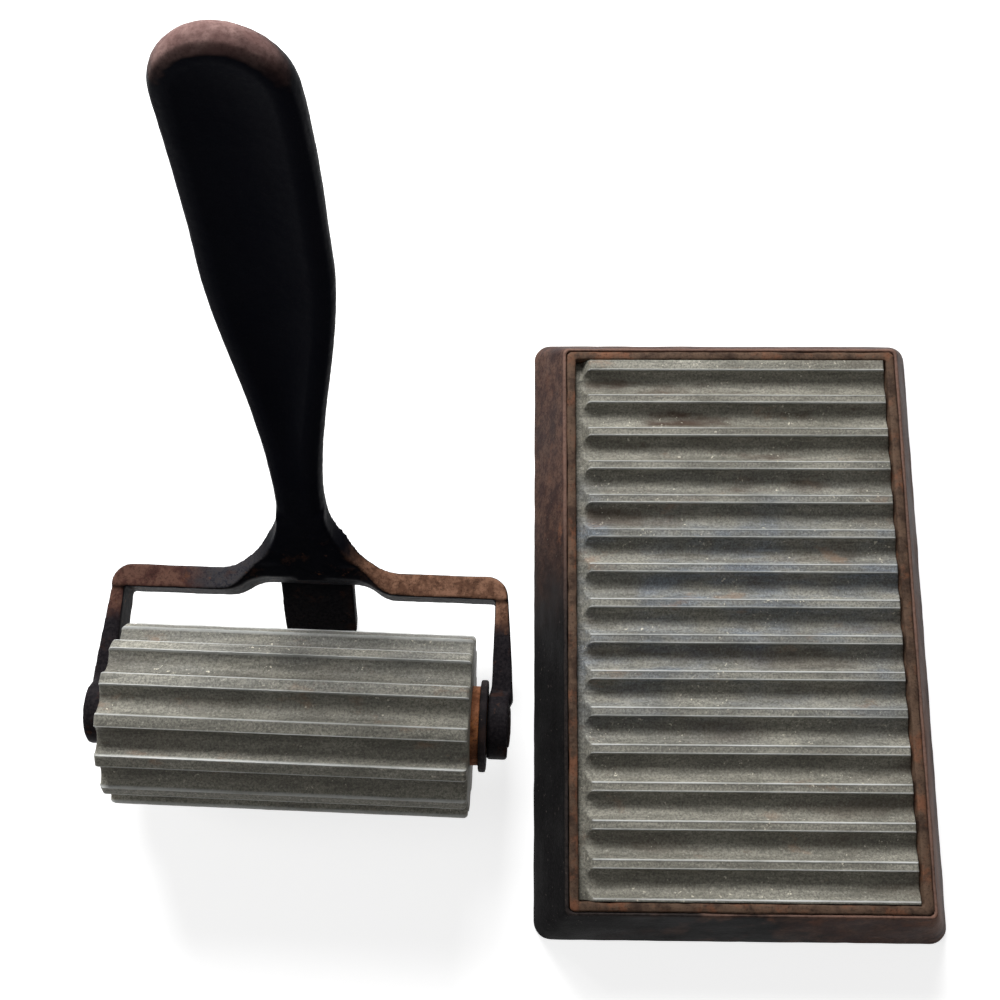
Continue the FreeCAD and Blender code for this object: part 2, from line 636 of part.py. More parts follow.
def make_handle():
    """Neck and paddle: a loft along the middle line, and a round tip turned on its last section."""
    end = sum(length for length, start, turn in spine_arcs()) - get("paddle_width") / 2
    root = -get("handle_thickness") / 2
    count = int(get("handle_sections"))
    wires = []
    for index in range(count + 1):
        run = root + (end - root) * index / count
        edges = half_section(run, 1) + half_section(run, -1)
        wires.append(Part.Wire(Part.__sortEdges__([edge.toShape() for edge in edges])))
    body = Part.makeLoft(wires, True, False)
    point, lean = spine_point(end)
    outward = Vector(0, -math.sin(lean), math.cos(lean))
    half = get("handle_thickness") / 2
    edges = [edge.toShape() for edge in half_section(end, 1)]
    edges.append(Part.LineSegment(point - outward * half, edges[0].firstVertex().Point).toShape())
    face = Part.Face(Part.Wire(Part.__sortEdges__(edges)))
    return body.fuse(face.revolve(point, outward, 180))


def setback_curve(y_start, step):
    """S-shaped line in plan by which a face of the crossbar draws back by step."""
    start = Vector(get("setback_from"), y_start, 0)
    end = Vector(get("setback_to"), y_start + step, 0)
    middle = (start + end) / 2
    run = start.x - end.x
    radius = (run ** 2 + step ** 2) / (4 * step)
    half_turn = math.asin(run / 2 / radius) / 2
    across_x = radius * math.sin(half_turn)
    across_y = radius * (1 - math.cos(half_turn))
    first = Part.Arc(start, start + Vector(-across_x, across_y, 0), middle)
    second = Part.Arc(middle, end + Vector(across_x, -across_y, 0), end)
    return [first.toShape(), second.toShape()]


def arm_plan():
    """Right-hand half of the fork in plan: crossbar, corner, arm and eye."""
    gap = value(EYE_INSIDE)
    inner = gap + get("arm_offset")
    outside = gap + get("eye_thickness")
    front = get("bar_front")
    back = front + get("bar_depth")
    step = get("bar_setback")
    corner = get("bar_corner")
    root = inner + get("arm_root")
    eye = get("eye_radius")
    cut = corner * (1 - math.sqrt(0.5))
    turn_start = Vector(root, back - corner, 0)
    turn_end = Vector(root - corner, back, 0)
    line = [(0, back + step), (0, front + step), (get("setback_to"), front + step)]
    front_line = [(get("setback_from"), front), (inner, front), (inner, eye * 1.2), (gap, eye * 0.9),
                  (gap, 0), (outside, 0), (outside, eye * 0.6), (inner + get("arm_end"), eye * 0.8),
                  (inner + get("arm_middle"), 0.62 * front), (root, back - corner)]
    edges = straight_run(line) + list(reversed(setback_curve(front, step))) + straight_run(front_line)
    edges.append(Part.Arc(turn_start, Vector(root - cut, back - cut, 0), turn_end).toShape())
    edges += straight_run([(root - corner, back), (get("setback_from"), back)])
    edges += setback_curve(back, step)
    edges += straight_run([(get("setback_to"), back + step), (0, back + step)])
    return Part.Face(Part.Wire(Part.__sortEdges__(edges)))


def straight_run(corners):
    """Straight edges through plan corners."""
    points = [Vector(x, y, 0) for x, y in corners]
    return [Part.LineSegment(a, b).toShape() for a, b in zip(points[:-1], points[1:])]


def front_outline():
    """Right-hand half of the crossbar seen from the front, swept up to the neck."""
    radius = get("wing_radius")
    neck = get("neck_width") / 2
    low = get("bar_bottom")
    top = get("bar_top")
    far = 2 * value(EYE_INSIDE)
    sweep = Vector(neck + radius, 0, top + radius)
    reach = radius * math.sqrt(0.5)
    points = [Vector(0, 0, top + radius), Vector(0, 0, low), Vector(far, 0, low), Vector(far, 0, top),
              Vector(neck + radius, 0, top)]
    edges = [Part.LineSegment(a, b).toShape() for a, b in zip(points[:-1], points[1:])]
    edges.append(Part.Arc(points[-1], sweep + Vector(-reach, 0, -reach),
                          Vector(neck, 0, top + radius)).toShape())
    edges.append(Part.LineSegment(Vector(neck, 0, top + radius), points[0]).toShape())
    return Part.Face(Part.Wire(edges))


def make_fork_side():
    """Right-hand half of the fork: crossbar swept up to the neck, arm and eye."""
    low = get("bar_bottom")
    top = get("bar_top")
    plan = arm_plan()
    plan.translate(Vector(0, 0, low))
    lower = plan.extrude(Vector(0, 0, top - low))
    plan.translate(Vector(0, 0, top - low))
    lean = math.radians(get("neck_lean"))
    rise = get("wing_radius") - 0.01
    upper = plan.extrude(Vector(0, rise / math.tan(lean), rise))
    outline = front_outline()
    sweep = upper.common(outline.extrude(Vector(0, 4 * get("bar_front"), 0)))
    front = get("bar_front")
    trim = Part.makeBox(2 * value(EYE_INSIDE), front, top, Vector(get("setback_from"), 0, get("arm_top")))
    trim.translate(Vector(0, -0.01, 0))
    eye = Part.makeCylinder(get("eye_radius"), get("eye_thickness"),
                            Vector(value(EYE_INSIDE), 0, axle_height()), Vector(1, 0, 0))
    return lower.cut(trim).multiFuse([sweep, eye])


def make_tongue():
    """Flat leg that leans forward from under the crossbar down to the table."""
    lean = math.radians(get("tongue_lean"))
    level = get("tongue_thickness") / math.sin(lean)
    low = get("bar_bottom")
    root = low + get("tongue_root")
    back = get("bar_front") + get("bar_setback") + get("bar_depth")
    foot = back - low / math.tan(lean)
    corners = [(foot, 0), (back, low), (back, root), (back - level, root), (back - level, low),
               (foot - level, 0)]
    return across(corners, get("tongue_width") / 2)


def make_neck_root():
    """Middle of the crossbar where the neck comes down into it."""
    lean = math.radians(get("neck_lean"))
    front = get("bar_front") + get("bar_setback")
    back = front + get("bar_depth")
    neck_back = front + get("handle_thickness") / math.sin(lean)
    top = get("bar_top")
    rise = get("wing_radius") / 2
    shift = rise / math.tan(lean)
    meet = top - (neck_back - back) * math.tan(lean)
    corners = [(front, get("bar_bottom")), (front, top), (front + shift, top + rise),
               (neck_back + shift, top + rise), (back, meet), (back, get("bar_bottom"))]
    return across(corners, get("neck_width") / 2)


def across(corners, half_width):
    """Extrude an upright side profile to both sides."""
    points = [Vector(-half_width, y, z) for y, z in corners]
    face = Part.Face(Part.makePolygon(points + points[:1]))
    return face.extrude(Vector(2 * half_width, 0, 0))


def make_handle_fork():
    side = make_fork_side()
    other = side.mirror(Vector(0, 0, 0), Vector(1, 0, 0))
    fork = side.multiFuse([other, make_tongue(), make_neck_root()])
    casting = fork.fuse(make_handle())
    reach = 2 * value(EYE_INSIDE)
    bore = Part.makeCylinder(get("axle_radius"), 2 * reach,
                             Vector(-reach, 0, axle_height()), Vector(1, 0, 0))
    feature = doc.addObject("Part::Feature", "handle_fork")
    feature.Label = "handle_fork"
    feature.Shape = casting.cut(bore)
    return feature


def tool_placement():
    """Stand the hand tool beside the bed."""
    return Placement(Vector(get("tool_x"), get("tool_y"), 0),
                     Rotation(Vector(0, 0, 1), get("tool_yaw")))


def place_on_axle(body, turn):
    """Set a roller piece on the axle, turned about it."""
    seat = Placement(Vector(0, 0, axle_height()), Rotation(Vector(1, 0, 0), turn))
    body.Placement = tool_placement().multiply(seat)


bed = [make_base(), make_tray(), make_plate(), make_screws()]
doc.recompute()
for piece in bed:
    piece.Placement = Placement(Vector(get("bed_x"), get("bed_y"), 0), Rotation())
fork = make_handle_fork()
fork.Placement = tool_placement()
roller = [make_sleeve(), make_core(), make_collar()]
axle = make_axle()
doc.recompute()
half_step = 180 / get("tooth_count")
for piece in roller:
    place_on_axle(piece, get("roll_angle") + half_step - 90)
place_on_axle(axle, 0)
doc.recompute()

nodes = bed + [fork, axle] + roller
for item in doc.Objects:
    if "Invalid" in item.State or "Error" in item.State:
        raise RuntimeError("%s failed: %s" % (item.Name, item.State))
for node in nodes:
    if node.Shape.isNull() or not node.Shape.isValid():
        raise RuntimeError("%s has no valid shape" % node.Label)

os.makedirs("parts", exist_ok=True)
for node in nodes:
    node.Shape.exportStep("parts/%s.step" % node.Label)
    box = node.Shape.BoundBox
    print("%-14s solids %d volume %10.1f  x %7.2f %7.2f  y %7.2f %7.2f  z %7.2f %7.2f" % (
        node.Label, len(node.Shape.Solids), node.Shape.Volume,
        box.XMin, box.XMax, box.YMin, box.YMax, box.ZMin, box.ZMax))
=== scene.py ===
"""Looks of the roller fluting iron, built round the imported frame.

Sizes of the object are in millimetres, and MM turns them into the scene's metres.
"""
import json
import math

import bpy
import numpy as np
from mathutils import Euler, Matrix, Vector, noise


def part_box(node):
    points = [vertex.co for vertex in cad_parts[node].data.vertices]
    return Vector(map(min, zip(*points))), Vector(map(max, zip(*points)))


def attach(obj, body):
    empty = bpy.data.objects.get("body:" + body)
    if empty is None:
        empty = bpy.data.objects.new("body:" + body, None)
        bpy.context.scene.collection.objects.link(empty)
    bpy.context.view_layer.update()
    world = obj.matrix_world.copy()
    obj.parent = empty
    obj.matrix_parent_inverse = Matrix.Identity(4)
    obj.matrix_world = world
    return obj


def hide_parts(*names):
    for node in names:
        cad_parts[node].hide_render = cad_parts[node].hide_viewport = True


MM = 0.001
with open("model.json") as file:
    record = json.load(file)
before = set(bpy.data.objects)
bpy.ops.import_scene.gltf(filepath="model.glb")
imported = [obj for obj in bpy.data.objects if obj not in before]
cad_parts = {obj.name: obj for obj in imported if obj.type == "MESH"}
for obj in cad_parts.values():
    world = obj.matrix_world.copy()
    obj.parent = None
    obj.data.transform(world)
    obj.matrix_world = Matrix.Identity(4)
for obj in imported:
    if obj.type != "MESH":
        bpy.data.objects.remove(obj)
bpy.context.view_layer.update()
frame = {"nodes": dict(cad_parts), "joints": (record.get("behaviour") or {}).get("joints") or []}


# Places and sizes read from the frame

def span(node):
    """Lowest and highest corner of a node, in millimetres."""
    low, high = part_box(node)
    return np.array(low) / MM, np.array(high) / MM


BASE_LOW, BASE_HIGH = span("base_casting")
TRAY_LOW, TRAY_HIGH = span("bed_tray")
PLATE_LOW, PLATE_HIGH = span("bed_plate")
BED_CENTRE = (BASE_LOW + BASE_HIGH) / 2
BASE_HALF = (BASE_HIGH - BASE_LOW) / 2
TRAY_HALF = (TRAY_HIGH - TRAY_LOW) / 2

SPIN = [joint for joint in frame["joints"] if joint["name"] == "roller_spin"][0]
AXLE = np.array(SPIN["pos_m"]) / MM
AXLE_DIRECTION = np.array(SPIN["axis"], float)
BACKWARD = np.array((-AXLE_DIRECTION[1], AXLE_DIRECTION[0], 0.0))

# Sizes of the bed, in millimetres
BASE_TOP = BASE_HIGH[2]
SKIRT_FLARE = 7.1
GROUND_CORNER = 4.0
TOP_CORNER = 1.2
SKIRT_WALL = 4.0
CAVITY_CORNER = 4.0
DECK_THICKNESS = 4.0
DECK_TOP = TRAY_LOW[2]
DECK_BOTTOM = DECK_TOP - DECK_THICKNESS
CEILING_INSET = 30.0
SEAT_RADIUS = 4.9
SCREW_HOLE_RADIUS = 2.1
TRAY_RIM = 2.0
TRAY_FLOOR = 2.0
FLOOR_INSET = 20.0
PITCH = 8.32
FLUTES = 15
FIRST_RIDGE = 1.6
FLUTE_DEPTH = 2.7
FLUTE_RADIUS = 3.25
BORDER = 1.5
LEFT_BEVEL = 2.0
RIGHT_BEVEL = 0.8
RIDGE_SOFTNESS = 0.22
PLATE_ROUND = 0.25

# One casting pit in the plate: shares from the left and the far side, half sizes and depth
PIT_SHARE_X = 0.756
PIT_SHARE_Y = 0.628
PIT_HALF_X = 1.5
PIT_HALF_Y = 0.8
PIT_DEPTH = 0.8

# A flute's arc is used within this share of its reach, and past it a height clear of the lands
ARC_SHARE = 0.999
NO_FLUTE = 10.0

# Depths below the tops between which the masks pass from a flute's wall to a land
LAND_FOOT = 0.9
LAND_TOP = 0.3

# Sizes of the roller, in millimetres and radians
TEETH = 14
TOOTH_STEP = 2 * math.pi / TEETH
TOOTH_SOFTNESS = 0.3
TIP_ABOVE_PITCH = 1.66
TIP_RADIUS = PITCH * TEETH / (2 * math.pi) + TIP_ABOVE_PITCH
ROLL_ANGLE = math.radians(21.84)
SLEEVE_LEFT = -39.9
SLEEVE_RIGHT = 38.9
SLEEVE_LENGTH = SLEEVE_RIGHT - SLEEVE_LEFT
SLEEVE_ROUND = 0.9
CORE_RADIUS = 8.75
FLANGE_RADIUS = 10.2
FLANGE_THICKNESS = 1.6
SPIGOT_RADIUS = 6.5
BORE_RADIUS = 3.25
CORE_END = 42.3
AXLE_RADIUS = 3.2
RIVET_RADIUS = 4.6
RIVET_HEIGHT = 0.6
EYE_OUTSIDE = 47.0

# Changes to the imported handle, in millimetres, with the widening and the shrinking as shares
FORK_VOXEL = 0.42
PADDLE_WIDENING = 0.04
PADDLE_SHIFT = 0.25
WEB_SHRINK = 0.42
WEB_ROOT = 33.7
FOOT_SHIFT = 1.2
TIP_DROP = 1.6
TIP_LEAN = math.radians(78.2)

# Steps round a rounded rectangle and up the skirt
ALONG_STEPS = 56
ACROSS_STEPS = 36
CORNER_STEPS = 8
SKIRT_STEPS = 18


# Mesh helpers

def make_object(name, points, faces):
    """Smoothly shaded object from points in millimetres in the frame."""
    mesh = bpy.data.meshes.new(name)
    mesh.from_pydata([tuple(p) for p in np.asarray(points) * MM], [], faces)
    mesh.validate()
    mesh.update()
    shade_smooth(mesh)
    item = bpy.data.objects.new(name, mesh)
    bpy.context.scene.collection.objects.link(item)
    return item


def shade_smooth(mesh):
    """Shade every face of a mesh smoothly."""
    for polygon in mesh.polygons:
        polygon.use_smooth = True


def vertex_places(item):
    """Places of an object's vertices in millimetres, one row for each."""
    places = np.empty(len(item.data.vertices) * 3)
    item.data.vertices.foreach_get("co", places)
    return places.reshape(-1, 3) / MM


def place_vertices(item, places):
    """Put an object's vertices at places given in millimetres."""
    item.data.vertices.foreach_set("co", places.ravel() * MM)
    item.data.update()


def select_only(item):
    """Make an object the active one and the only one selected."""
    bpy.context.view_layer.objects.active = item
    for other in bpy.context.selected_objects:
        other.select_set(False)
    item.select_set(True)


def face_outwards(item):
    """Turn all faces of a closed mesh outwards."""
    select_only(item)
    bpy.ops.object.mode_set(mode="EDIT")
    bpy.ops.mesh.select_all(action="SELECT")
    bpy.ops.mesh.normals_make_consistent(inside=False)
    bpy.ops.object.mode_set(mode="OBJECT")
    item.select_set(False)


def loft(name, rings, loop=False):
    """Join rings of equally many points into one closed surface.

    A loop joins the last ring to the first, and otherwise a fan closes each end.
    """
    rings = [np.asarray(ring, float) for ring in rings]
    count = len(rings[0])
    rows = len(rings)
    points = [p for ring in rings for p in ring]
    faces = []
    for i in range(rows if loop else rows - 1):
        a = i * count
        b = ((i + 1) % rows) * count
        for j in range(count):
            k = (j + 1) % count
            faces.append((a + j, a + k, b + k, b + j))
    if not loop:
        for ring, start in ((rings[0], 0), (rings[-1], (rows - 1) * count)):
            centre = len(points)
            points.append(ring.mean(0))
            faces += [(start + j, start + (j + 1) % count, centre) for j in range(count)]
    item = make_object(name, points, faces)
    face_outwards(item)
    return item


def rough(point, scale, octaves=3):
    """Fractal noise at a point given in millimetres, about -1 to 1."""
    return noise.fractal(Vector(point) / scale, 0.9, 2.0, octaves, noise_basis="PERLIN_ORIGINAL")


def roughen(item, layers, lowest=-1.0):
    """Move the vertices above a height along their normals by layers of smooth noise.

    Each layer is an amount and a scale in millimetres and a count of octaves.
    """
    places = vertex_places(item)
    normals = np.empty(len(places) * 3)
    item.data.vertex_normals.foreach_get("vector", normals)
    normals = normals.reshape(-1, 3)
    for index, place in enumerate(places):
        if place[2] >= lowest:
            push = sum(amount * rough(place, scale, octaves) for amount, scale, octaves in layers)
            places[index] = place + normals[index] * push
    place_vertices(item, places)


def shade_by_angle(item, degrees):
    """Keep corners sharper than the angle crisp and shade the rest smoothly."""
    select_only(item)
    bpy.ops.object.shade_smooth_by_angle(angle=math.radians(degrees))
    item.select_set(False)


def smoothstep(value, low, high):
    """Smooth rise from 0 to 1 as a value goes from low to high."""
    part = np.clip((value - low) / (high - low), 0, 1)
    return part * part * (3 - 2 * part)


def full_turn(count):
    """Even angles round one full turn."""
    return np.linspace(0, 2 * math.pi, count + 1)[:-1]


def tool_point(x, y, z):
    """Frame point for one given across, behind and above the axle's foot on the table."""
    flat = np.array((AXLE[0], AXLE[1], 0.0))
    return flat + AXLE_DIRECTION * x + BACKWARD * y + np.array((0, 0, z))


def set_mask(item, name, values):
    """Store one number per vertex for the material to read."""
    layer = item.data.attributes.new(name, "FLOAT", "POINT")
    layer.data.foreach_set("value", np.asarray(values, np.float32))


# Bed

def rounded_ring(half_x, half_y, radius, z):
    """Rounded rectangle about the bed's middle, with the same count of points each time."""
    points = []
    corners = ((1, 1), (-1, 1), (-1, -1), (1, -1))
    for index, (sx, sy) in enumerate(corners):
        centre = np.array((sx * (half_x - radius), sy * (half_y - radius)))
        start = math.pi / 2 * index
        for step in range(CORNER_STEPS + 1):
            angle = start + math.pi / 2 * step / CORNER_STEPS
            points.append(centre + radius * np.array((math.cos(angle), math.sin(angle))))
        nx, ny = corners[(index + 1) % 4]
        here = points[-1]
        after = start + math.pi / 2
        there = np.array((nx * (half_x - radius), ny * (half_y - radius)))
        there = there + radius * np.array((math.cos(after), math.sin(after)))
        count = ACROSS_STEPS if index % 2 == 0 else ALONG_STEPS
        for step in range(1, count):
            points.append(here + (there - here) * step / count)
    ring = np.zeros((len(points), 3))
    ring[:, :2] = np.array(points) + BED_CENTRE[:2]
    ring[:, 2] = z
    return ring


def box_rings(half, rows):
    """Rounded rectangles from rows of inset, height and corner radius."""
    return [rounded_ring(half[0] - inset, half[1] - inset, radius, z) for inset, z, radius in rows]


def make_base():
    """Hollow cast base: cavity, foot, flared skirt, thin top edge and tray recess."""
    lean = SKIRT_FLARE / BASE_TOP
    fillet = DECK_BOTTOM - 1.0
    rows = [(CEILING_INSET, DECK_BOTTOM, CAVITY_CORNER),
            (SKIRT_WALL + lean * DECK_BOTTOM + 1.2, DECK_BOTTOM, CAVITY_CORNER),
            (SKIRT_WALL + lean * fillet, fillet, CAVITY_CORNER),
            (SKIRT_WALL, 0.35, CAVITY_CORNER),
            (SKIRT_WALL - 0.3, 0.0, CAVITY_CORNER),
            (0.5, 0.0, GROUND_CORNER),
            (0.12, 0.15, GROUND_CORNER)]
    bottom = 0.5
    top = BASE_TOP - 0.35
    for step in range(SKIRT_STEPS + 1):
        z = bottom + (top - bottom) * step / SKIRT_STEPS
        share = z / BASE_TOP
        rows.append((lean * z, z, GROUND_CORNER + (TOP_CORNER - GROUND_CORNER) * share))
    edge = ((0.05, BASE_TOP - 0.1), (0.2, BASE_TOP), (0.45, BASE_TOP - 0.05), (0.62, BASE_TOP - 0.3),
            (0.62, DECK_TOP + 0.3), (0.8, DECK_TOP))
    rows += [(SKIRT_FLARE + inset, z, TOP_CORNER) for inset, z in edge]
    item = loft("bed_base_skin", box_rings(BASE_HALF, rows))
    cut_screw_seats(item)
    roughen(item, ((0.10, 9.0, 3), (0.05, 2.2, 3)), lowest=0.05)
    shade_by_angle(item, 50)
    return item


def screw_centres():
    """Middles of the four screw heads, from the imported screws."""
    places = vertex_places(frame["nodes"]["bed_screws"])
    side = np.sign(places[:, :2] - BED_CENTRE[:2])
    centres = []
    for side_x in (-1, 1):
        for side_y in (-1, 1):
            part = places[(side == (side_x, side_y)).all(1)]
            centres.append((part.min(0) + part.max(0)) / 2)
    return centres


def cut_screw_seats(item):
    """Countersink the four holes under the deck."""
    angles = full_turn(32)
    profile = ((DECK_BOTTOM - 1.0, SEAT_RADIUS), (DECK_BOTTOM + 1.8, SCREW_HOLE_RADIUS),
               (DECK_TOP + 1.0, SCREW_HOLE_RADIUS))
    for centre in screw_centres():
        rings = []
        for z, radius in profile:
            x = centre[0] + radius * np.cos(angles)
            y = centre[1] + radius * np.sin(angles)
            rings.append(np.stack((x, y, np.full(len(angles), z)), 1))
        cutter = loft("cutter", rings)
        modifier = item.modifiers.new("seat", "BOOLEAN")
        modifier.operation = "DIFFERENCE"
        modifier.solver = "EXACT"
        modifier.object = cutter
        apply_modifiers(item)
        bpy.data.objects.remove(cutter)


def apply_modifiers(item):
    """Bake an object's modifiers into its mesh."""
    graph = bpy.context.evaluated_depsgraph_get()
    mesh = bpy.data.meshes.new_from_object(item.evaluated_get(graph))
    item.modifiers.clear()
    old = item.data
    item.data = mesh
    bpy.data.meshes.remove(old)


def make_tray():
    """Iron tray: floor and upstanding rim with softened edges."""
    top = TRAY_HIGH[2]
    floor = DECK_TOP + TRAY_FLOOR
    inner_corner = TOP_CORNER / 2
    rows = ((FLOOR_INSET, DECK_TOP, TOP_CORNER),
            (0.4, DECK_TOP, TOP_CORNER),
            (0.0, DECK_TOP + 0.4, TOP_CORNER),
            (0.0, top - 0.45, TOP_CORNER),
            (0.12, top - 0.12, TOP_CORNER),
            (0.45, top, TOP_CORNER),
            (TRAY_RIM / 2, top + 0.02, TOP_CORNER),
            (TRAY_RIM - 0.35, top, TOP_CORNER),
            (TRAY_RIM - 0.08, top - 0.12, inner_corner),
            (TRAY_RIM, top - 0.4, inner_corner),
            (TRAY_RIM, floor, inner_corner),
            (FLOOR_INSET, floor, inner_corner))
    item = loft("bed_tray_skin", box_rings(TRAY_HALF, rows))
    roughen(item, ((0.14, 3.0, 3), (0.11, 1.0, 3)), lowest=top - 0.5)
    shade_by_angle(item, 60)
    return item


def soft_min(a, b, softness):
    """Smaller of two heights with the crossing rounded off."""
    blend = np.clip(0.5 + 0.5 * (b - a) / softness, 0, 1)
    return b * (1 - blend) + a * blend - softness * blend * (1 - blend)


def from_flute(y):
    """Distance from the middle of the nearest flute, positive towards the far side."""
    first = PLATE_HIGH[1] - FIRST_RIDGE
    nearest = np.clip(np.floor((first - y) / PITCH), 0, FLUTES - 1)
    return y - (first - (nearest + 0.5) * PITCH)


def land_edge():
    """Distance from a flute's middle to the edge of the land beside it."""
    return math.sqrt(FLUTE_RADIUS ** 2 - (FLUTE_RADIUS - FLUTE_DEPTH) ** 2)


def ridge_profile(y):
    """Height below the ridge tops at a distance along the plate."""
    distance = from_flute(y)
    inside = np.clip(FLUTE_RADIUS ** 2 - distance ** 2, 0, None)
    hollow = FLUTE_RADIUS - FLUTE_DEPTH - np.sqrt(inside)
    hollow = np.where(np.abs(distance) < FLUTE_RADIUS * ARC_SHARE, hollow, NO_FLUTE)
    return soft_min(hollow, np.zeros_like(hollow), RIDGE_SOFTNESS)


def plate_rows():
    """Places along the plate, close together where a land meets its flutes."""
    y0, y1 = PLATE_LOW[1], PLATE_HIGH[1]
    edge = land_edge()
    coarse = np.arange(0.13, edge - 0.4, 0.27)
    fine = np.arange(edge - 0.35, edge + 0.36, 0.065)
    half = np.concatenate((coarse, fine))
    land = half[-1] + 0.15
    one = np.concatenate((-half[::-1], half, (land, -land)))
    first = y1 - FIRST_RIDGE
    rows = [first - (index + 0.5) * PITCH + one for index in range(FLUTES)]
    ends = np.array((y0, y0 + 0.08, y0 + 0.25, y1 - 0.25, y1 - 0.08, y1))
    rows = np.unique(np.round(np.concatenate(rows + [ends]), 3))
    rows = rows[(rows >= y0) & (rows <= y1)]
    return rows[np.concatenate((np.diff(rows) > 0.02, [True]))]


def plate_columns():
    """Places across the plate, and how many of them lie over the left bevel."""
    x0, x1 = PLATE_LOW[0], PLATE_HIGH[0]
    outer = np.linspace(0, 0.3, 3)[:-1]
    left = np.concatenate((outer, np.linspace(0.3, BORDER + LEFT_BEVEL + 1, 22)))
    right = np.concatenate((outer, np.linspace(0.3, RIGHT_BEVEL + 1, 9)))
    middle = np.arange(x0 + left[-1] + 0.6, x1 - right[-1] - 0.3, 0.75)
    return np.concatenate((x0 + left, middle, (x1 - right)[::-1])), len(left)


def noise_field(xs, ys, amount, stretch, level, scale, octaves):
    """Noise for each column and row, drawn out across the plate by a stretch below one."""
    return np.array([[amount * rough((x * stretch, y, level), scale, octaves) for y in ys] for x in xs])


def plate_heights(xs, ys, left_count):
    """Height of the plate's top face from its ridge tops, for each column and row."""
    x0, x1 = PLATE_LOW[0], PLATE_HIGH[0]
    y0, y1 = PLATE_LOW[1], PLATE_HIGH[1]
    grid_x, grid_y = np.meshgrid(xs, ys, indexing="ij")
    height = ridge_profile(grid_y)
    bevel = (grid_x - x0 - BORDER) * FLUTE_DEPTH / LEFT_BEVEL - FLUTE_DEPTH
    bevel[:left_count] += noise_field(xs[:left_count], ys, 0.16, 0.3, 3.0, 1.7, 2)
    height = soft_min(height, np.maximum(bevel, -FLUTE_DEPTH + 0.05), 0.25)
    height = soft_min(height, (x1 - grid_x) * FLUTE_DEPTH / RIGHT_BEVEL - FLUTE_DEPTH * 0.9, 0.2)
    for edge in (grid_y - y0, y1 - grid_y, grid_x - x0, x1 - grid_x):
        height = height - PLATE_ROUND * np.clip(1 - edge / PLATE_ROUND, 0, 1) ** 2
    broad = noise_field(xs, ys, 0.055, 0.45, 9.0, 4.0, 3)
    fine = noise_field(xs, ys, 0.025, 1.0, 5.0, 0.9, 2)
    height = height + (broad + fine)
    pit_x = x0 + PIT_SHARE_X * (x1 - x0)
    pit_y = y1 - PIT_SHARE_Y * (y1 - y0)
    pit = np.hypot((grid_x - pit_x) / PIT_HALF_X, (grid_y - pit_y) / PIT_HALF_Y)
    height = height - PIT_DEPTH * np.clip(1 - pit, 0, 1)
    return np.minimum(height, 0.02)


def grid_faces(nx, ny):
    """Quads of a grid of points that is stored column by column."""
    faces = []
    for i in range(nx - 1):
        for j in range(ny - 1):
            a = i * ny + j
            faces.append((a, a + ny, a + ny + 1, a + 1))
    return faces


def grid_border(nx, ny):
    """Points round the edge of such a grid, in order."""
    border = [i * ny for i in range(nx)]
    border += [(nx - 1) * ny + j for j in range(1, ny)]
    border += [i * ny + ny - 1 for i in range(nx - 2, -1, -1)]
    border += [j for j in range(ny - 2, 0, -1)]
    return border


def land_and_hollow(level, top):
    """Shares for the lands and for the bottoms of the flutes, from a level and that of the tops."""
    land = smoothstep(level, top - LAND_FOOT, top - LAND_TOP)
    hollow = 1 - smoothstep(level, top - FLUTE_DEPTH, top - LAND_FOOT)
    return land, hollow


def worn_edge_highlight_line(beside, width):
    """Share for the thin bright line along both edges of a land: worn metal with a painted highlight."""
    return np.exp(-((np.abs(beside) - land_edge()) / width) ** 2)


def make_plate():
    """Fluted plate: a fine height field with bevelled ridge ends, and plain sides below."""
    xs, left_count = plate_columns()
    ys = plate_rows()
    grid_x, grid_y = np.meshgrid(xs, ys, indexing="ij")
    height = plate_heights(xs, ys, left_count)
    points = np.stack((grid_x, grid_y, PLATE_HIGH[2] + height), -1).reshape(-1, 3)
    faces = grid_faces(len(xs), len(ys))
    border = grid_border(len(xs), len(ys))
    low = points[border].copy()
    low[:, 2] = PLATE_LOW[2]
    start = len(points)
    count = len(border)
    points = np.concatenate((points, low, low.mean(0)[None]))
    for j in range(count):
        k = (j + 1) % count
        faces.append((border[j], start + j, start + k, border[k]))
        faces.append((start + j, start + count, start + k))
    item = make_object("bed_plate_skin", points, faces)
    face_outwards(item)
    mask_plate(item)
    shade_by_angle(item, 40)
    return item


def mask_plate(item):
    """Tell the material where the plate's hollows, worn edges with their painted highlight, and thin seam
    lines are.
    """
    places = vertex_places(item)
    beside = from_flute(places[:, 1])
    land, hollow = land_and_hollow(places[:, 2], PLATE_HIGH[2])
    past_border = smoothstep(places[:, 0] - PLATE_LOW[0], BORDER, BORDER + 2)
    set_mask(item, "hollow", hollow * past_border)
    # The edge mask marks the worn land edges and their painted highlight line.
    set_mask(item, "edge", land * worn_edge_highlight_line(beside, 0.17))
    set_mask(item, "seam", land * np.exp(-((beside + land_edge() + 0.3) / 0.08) ** 2))


# Roller

def turn_from_flute(angle):
    """Angle from the middle of the nearest flute, for an angle from a tooth's middle."""
    return ((angle / TOOTH_STEP) % 1.0 - 0.5) * TOOTH_STEP


def tooth_radius(angle):
    """Radius of the fluted sleeve at an angle from a tooth's middle."""
    turn = turn_from_flute(angle)
    centre = TIP_RADIUS - FLUTE_DEPTH + FLUTE_RADIUS
    inside = np.clip(FLUTE_RADIUS ** 2 - (centre * np.sin(turn)) ** 2, 0, None)
    hollow = centre * np.cos(turn) - np.sqrt(inside)
    reach = math.asin(FLUTE_RADIUS / centre)
    hollow = np.where(np.abs(turn) < reach * ARC_SHARE, hollow, TIP_RADIUS + NO_FLUTE)
    return soft_min(hollow, np.full_like(hollow, TIP_RADIUS), TOOTH_SOFTNESS)


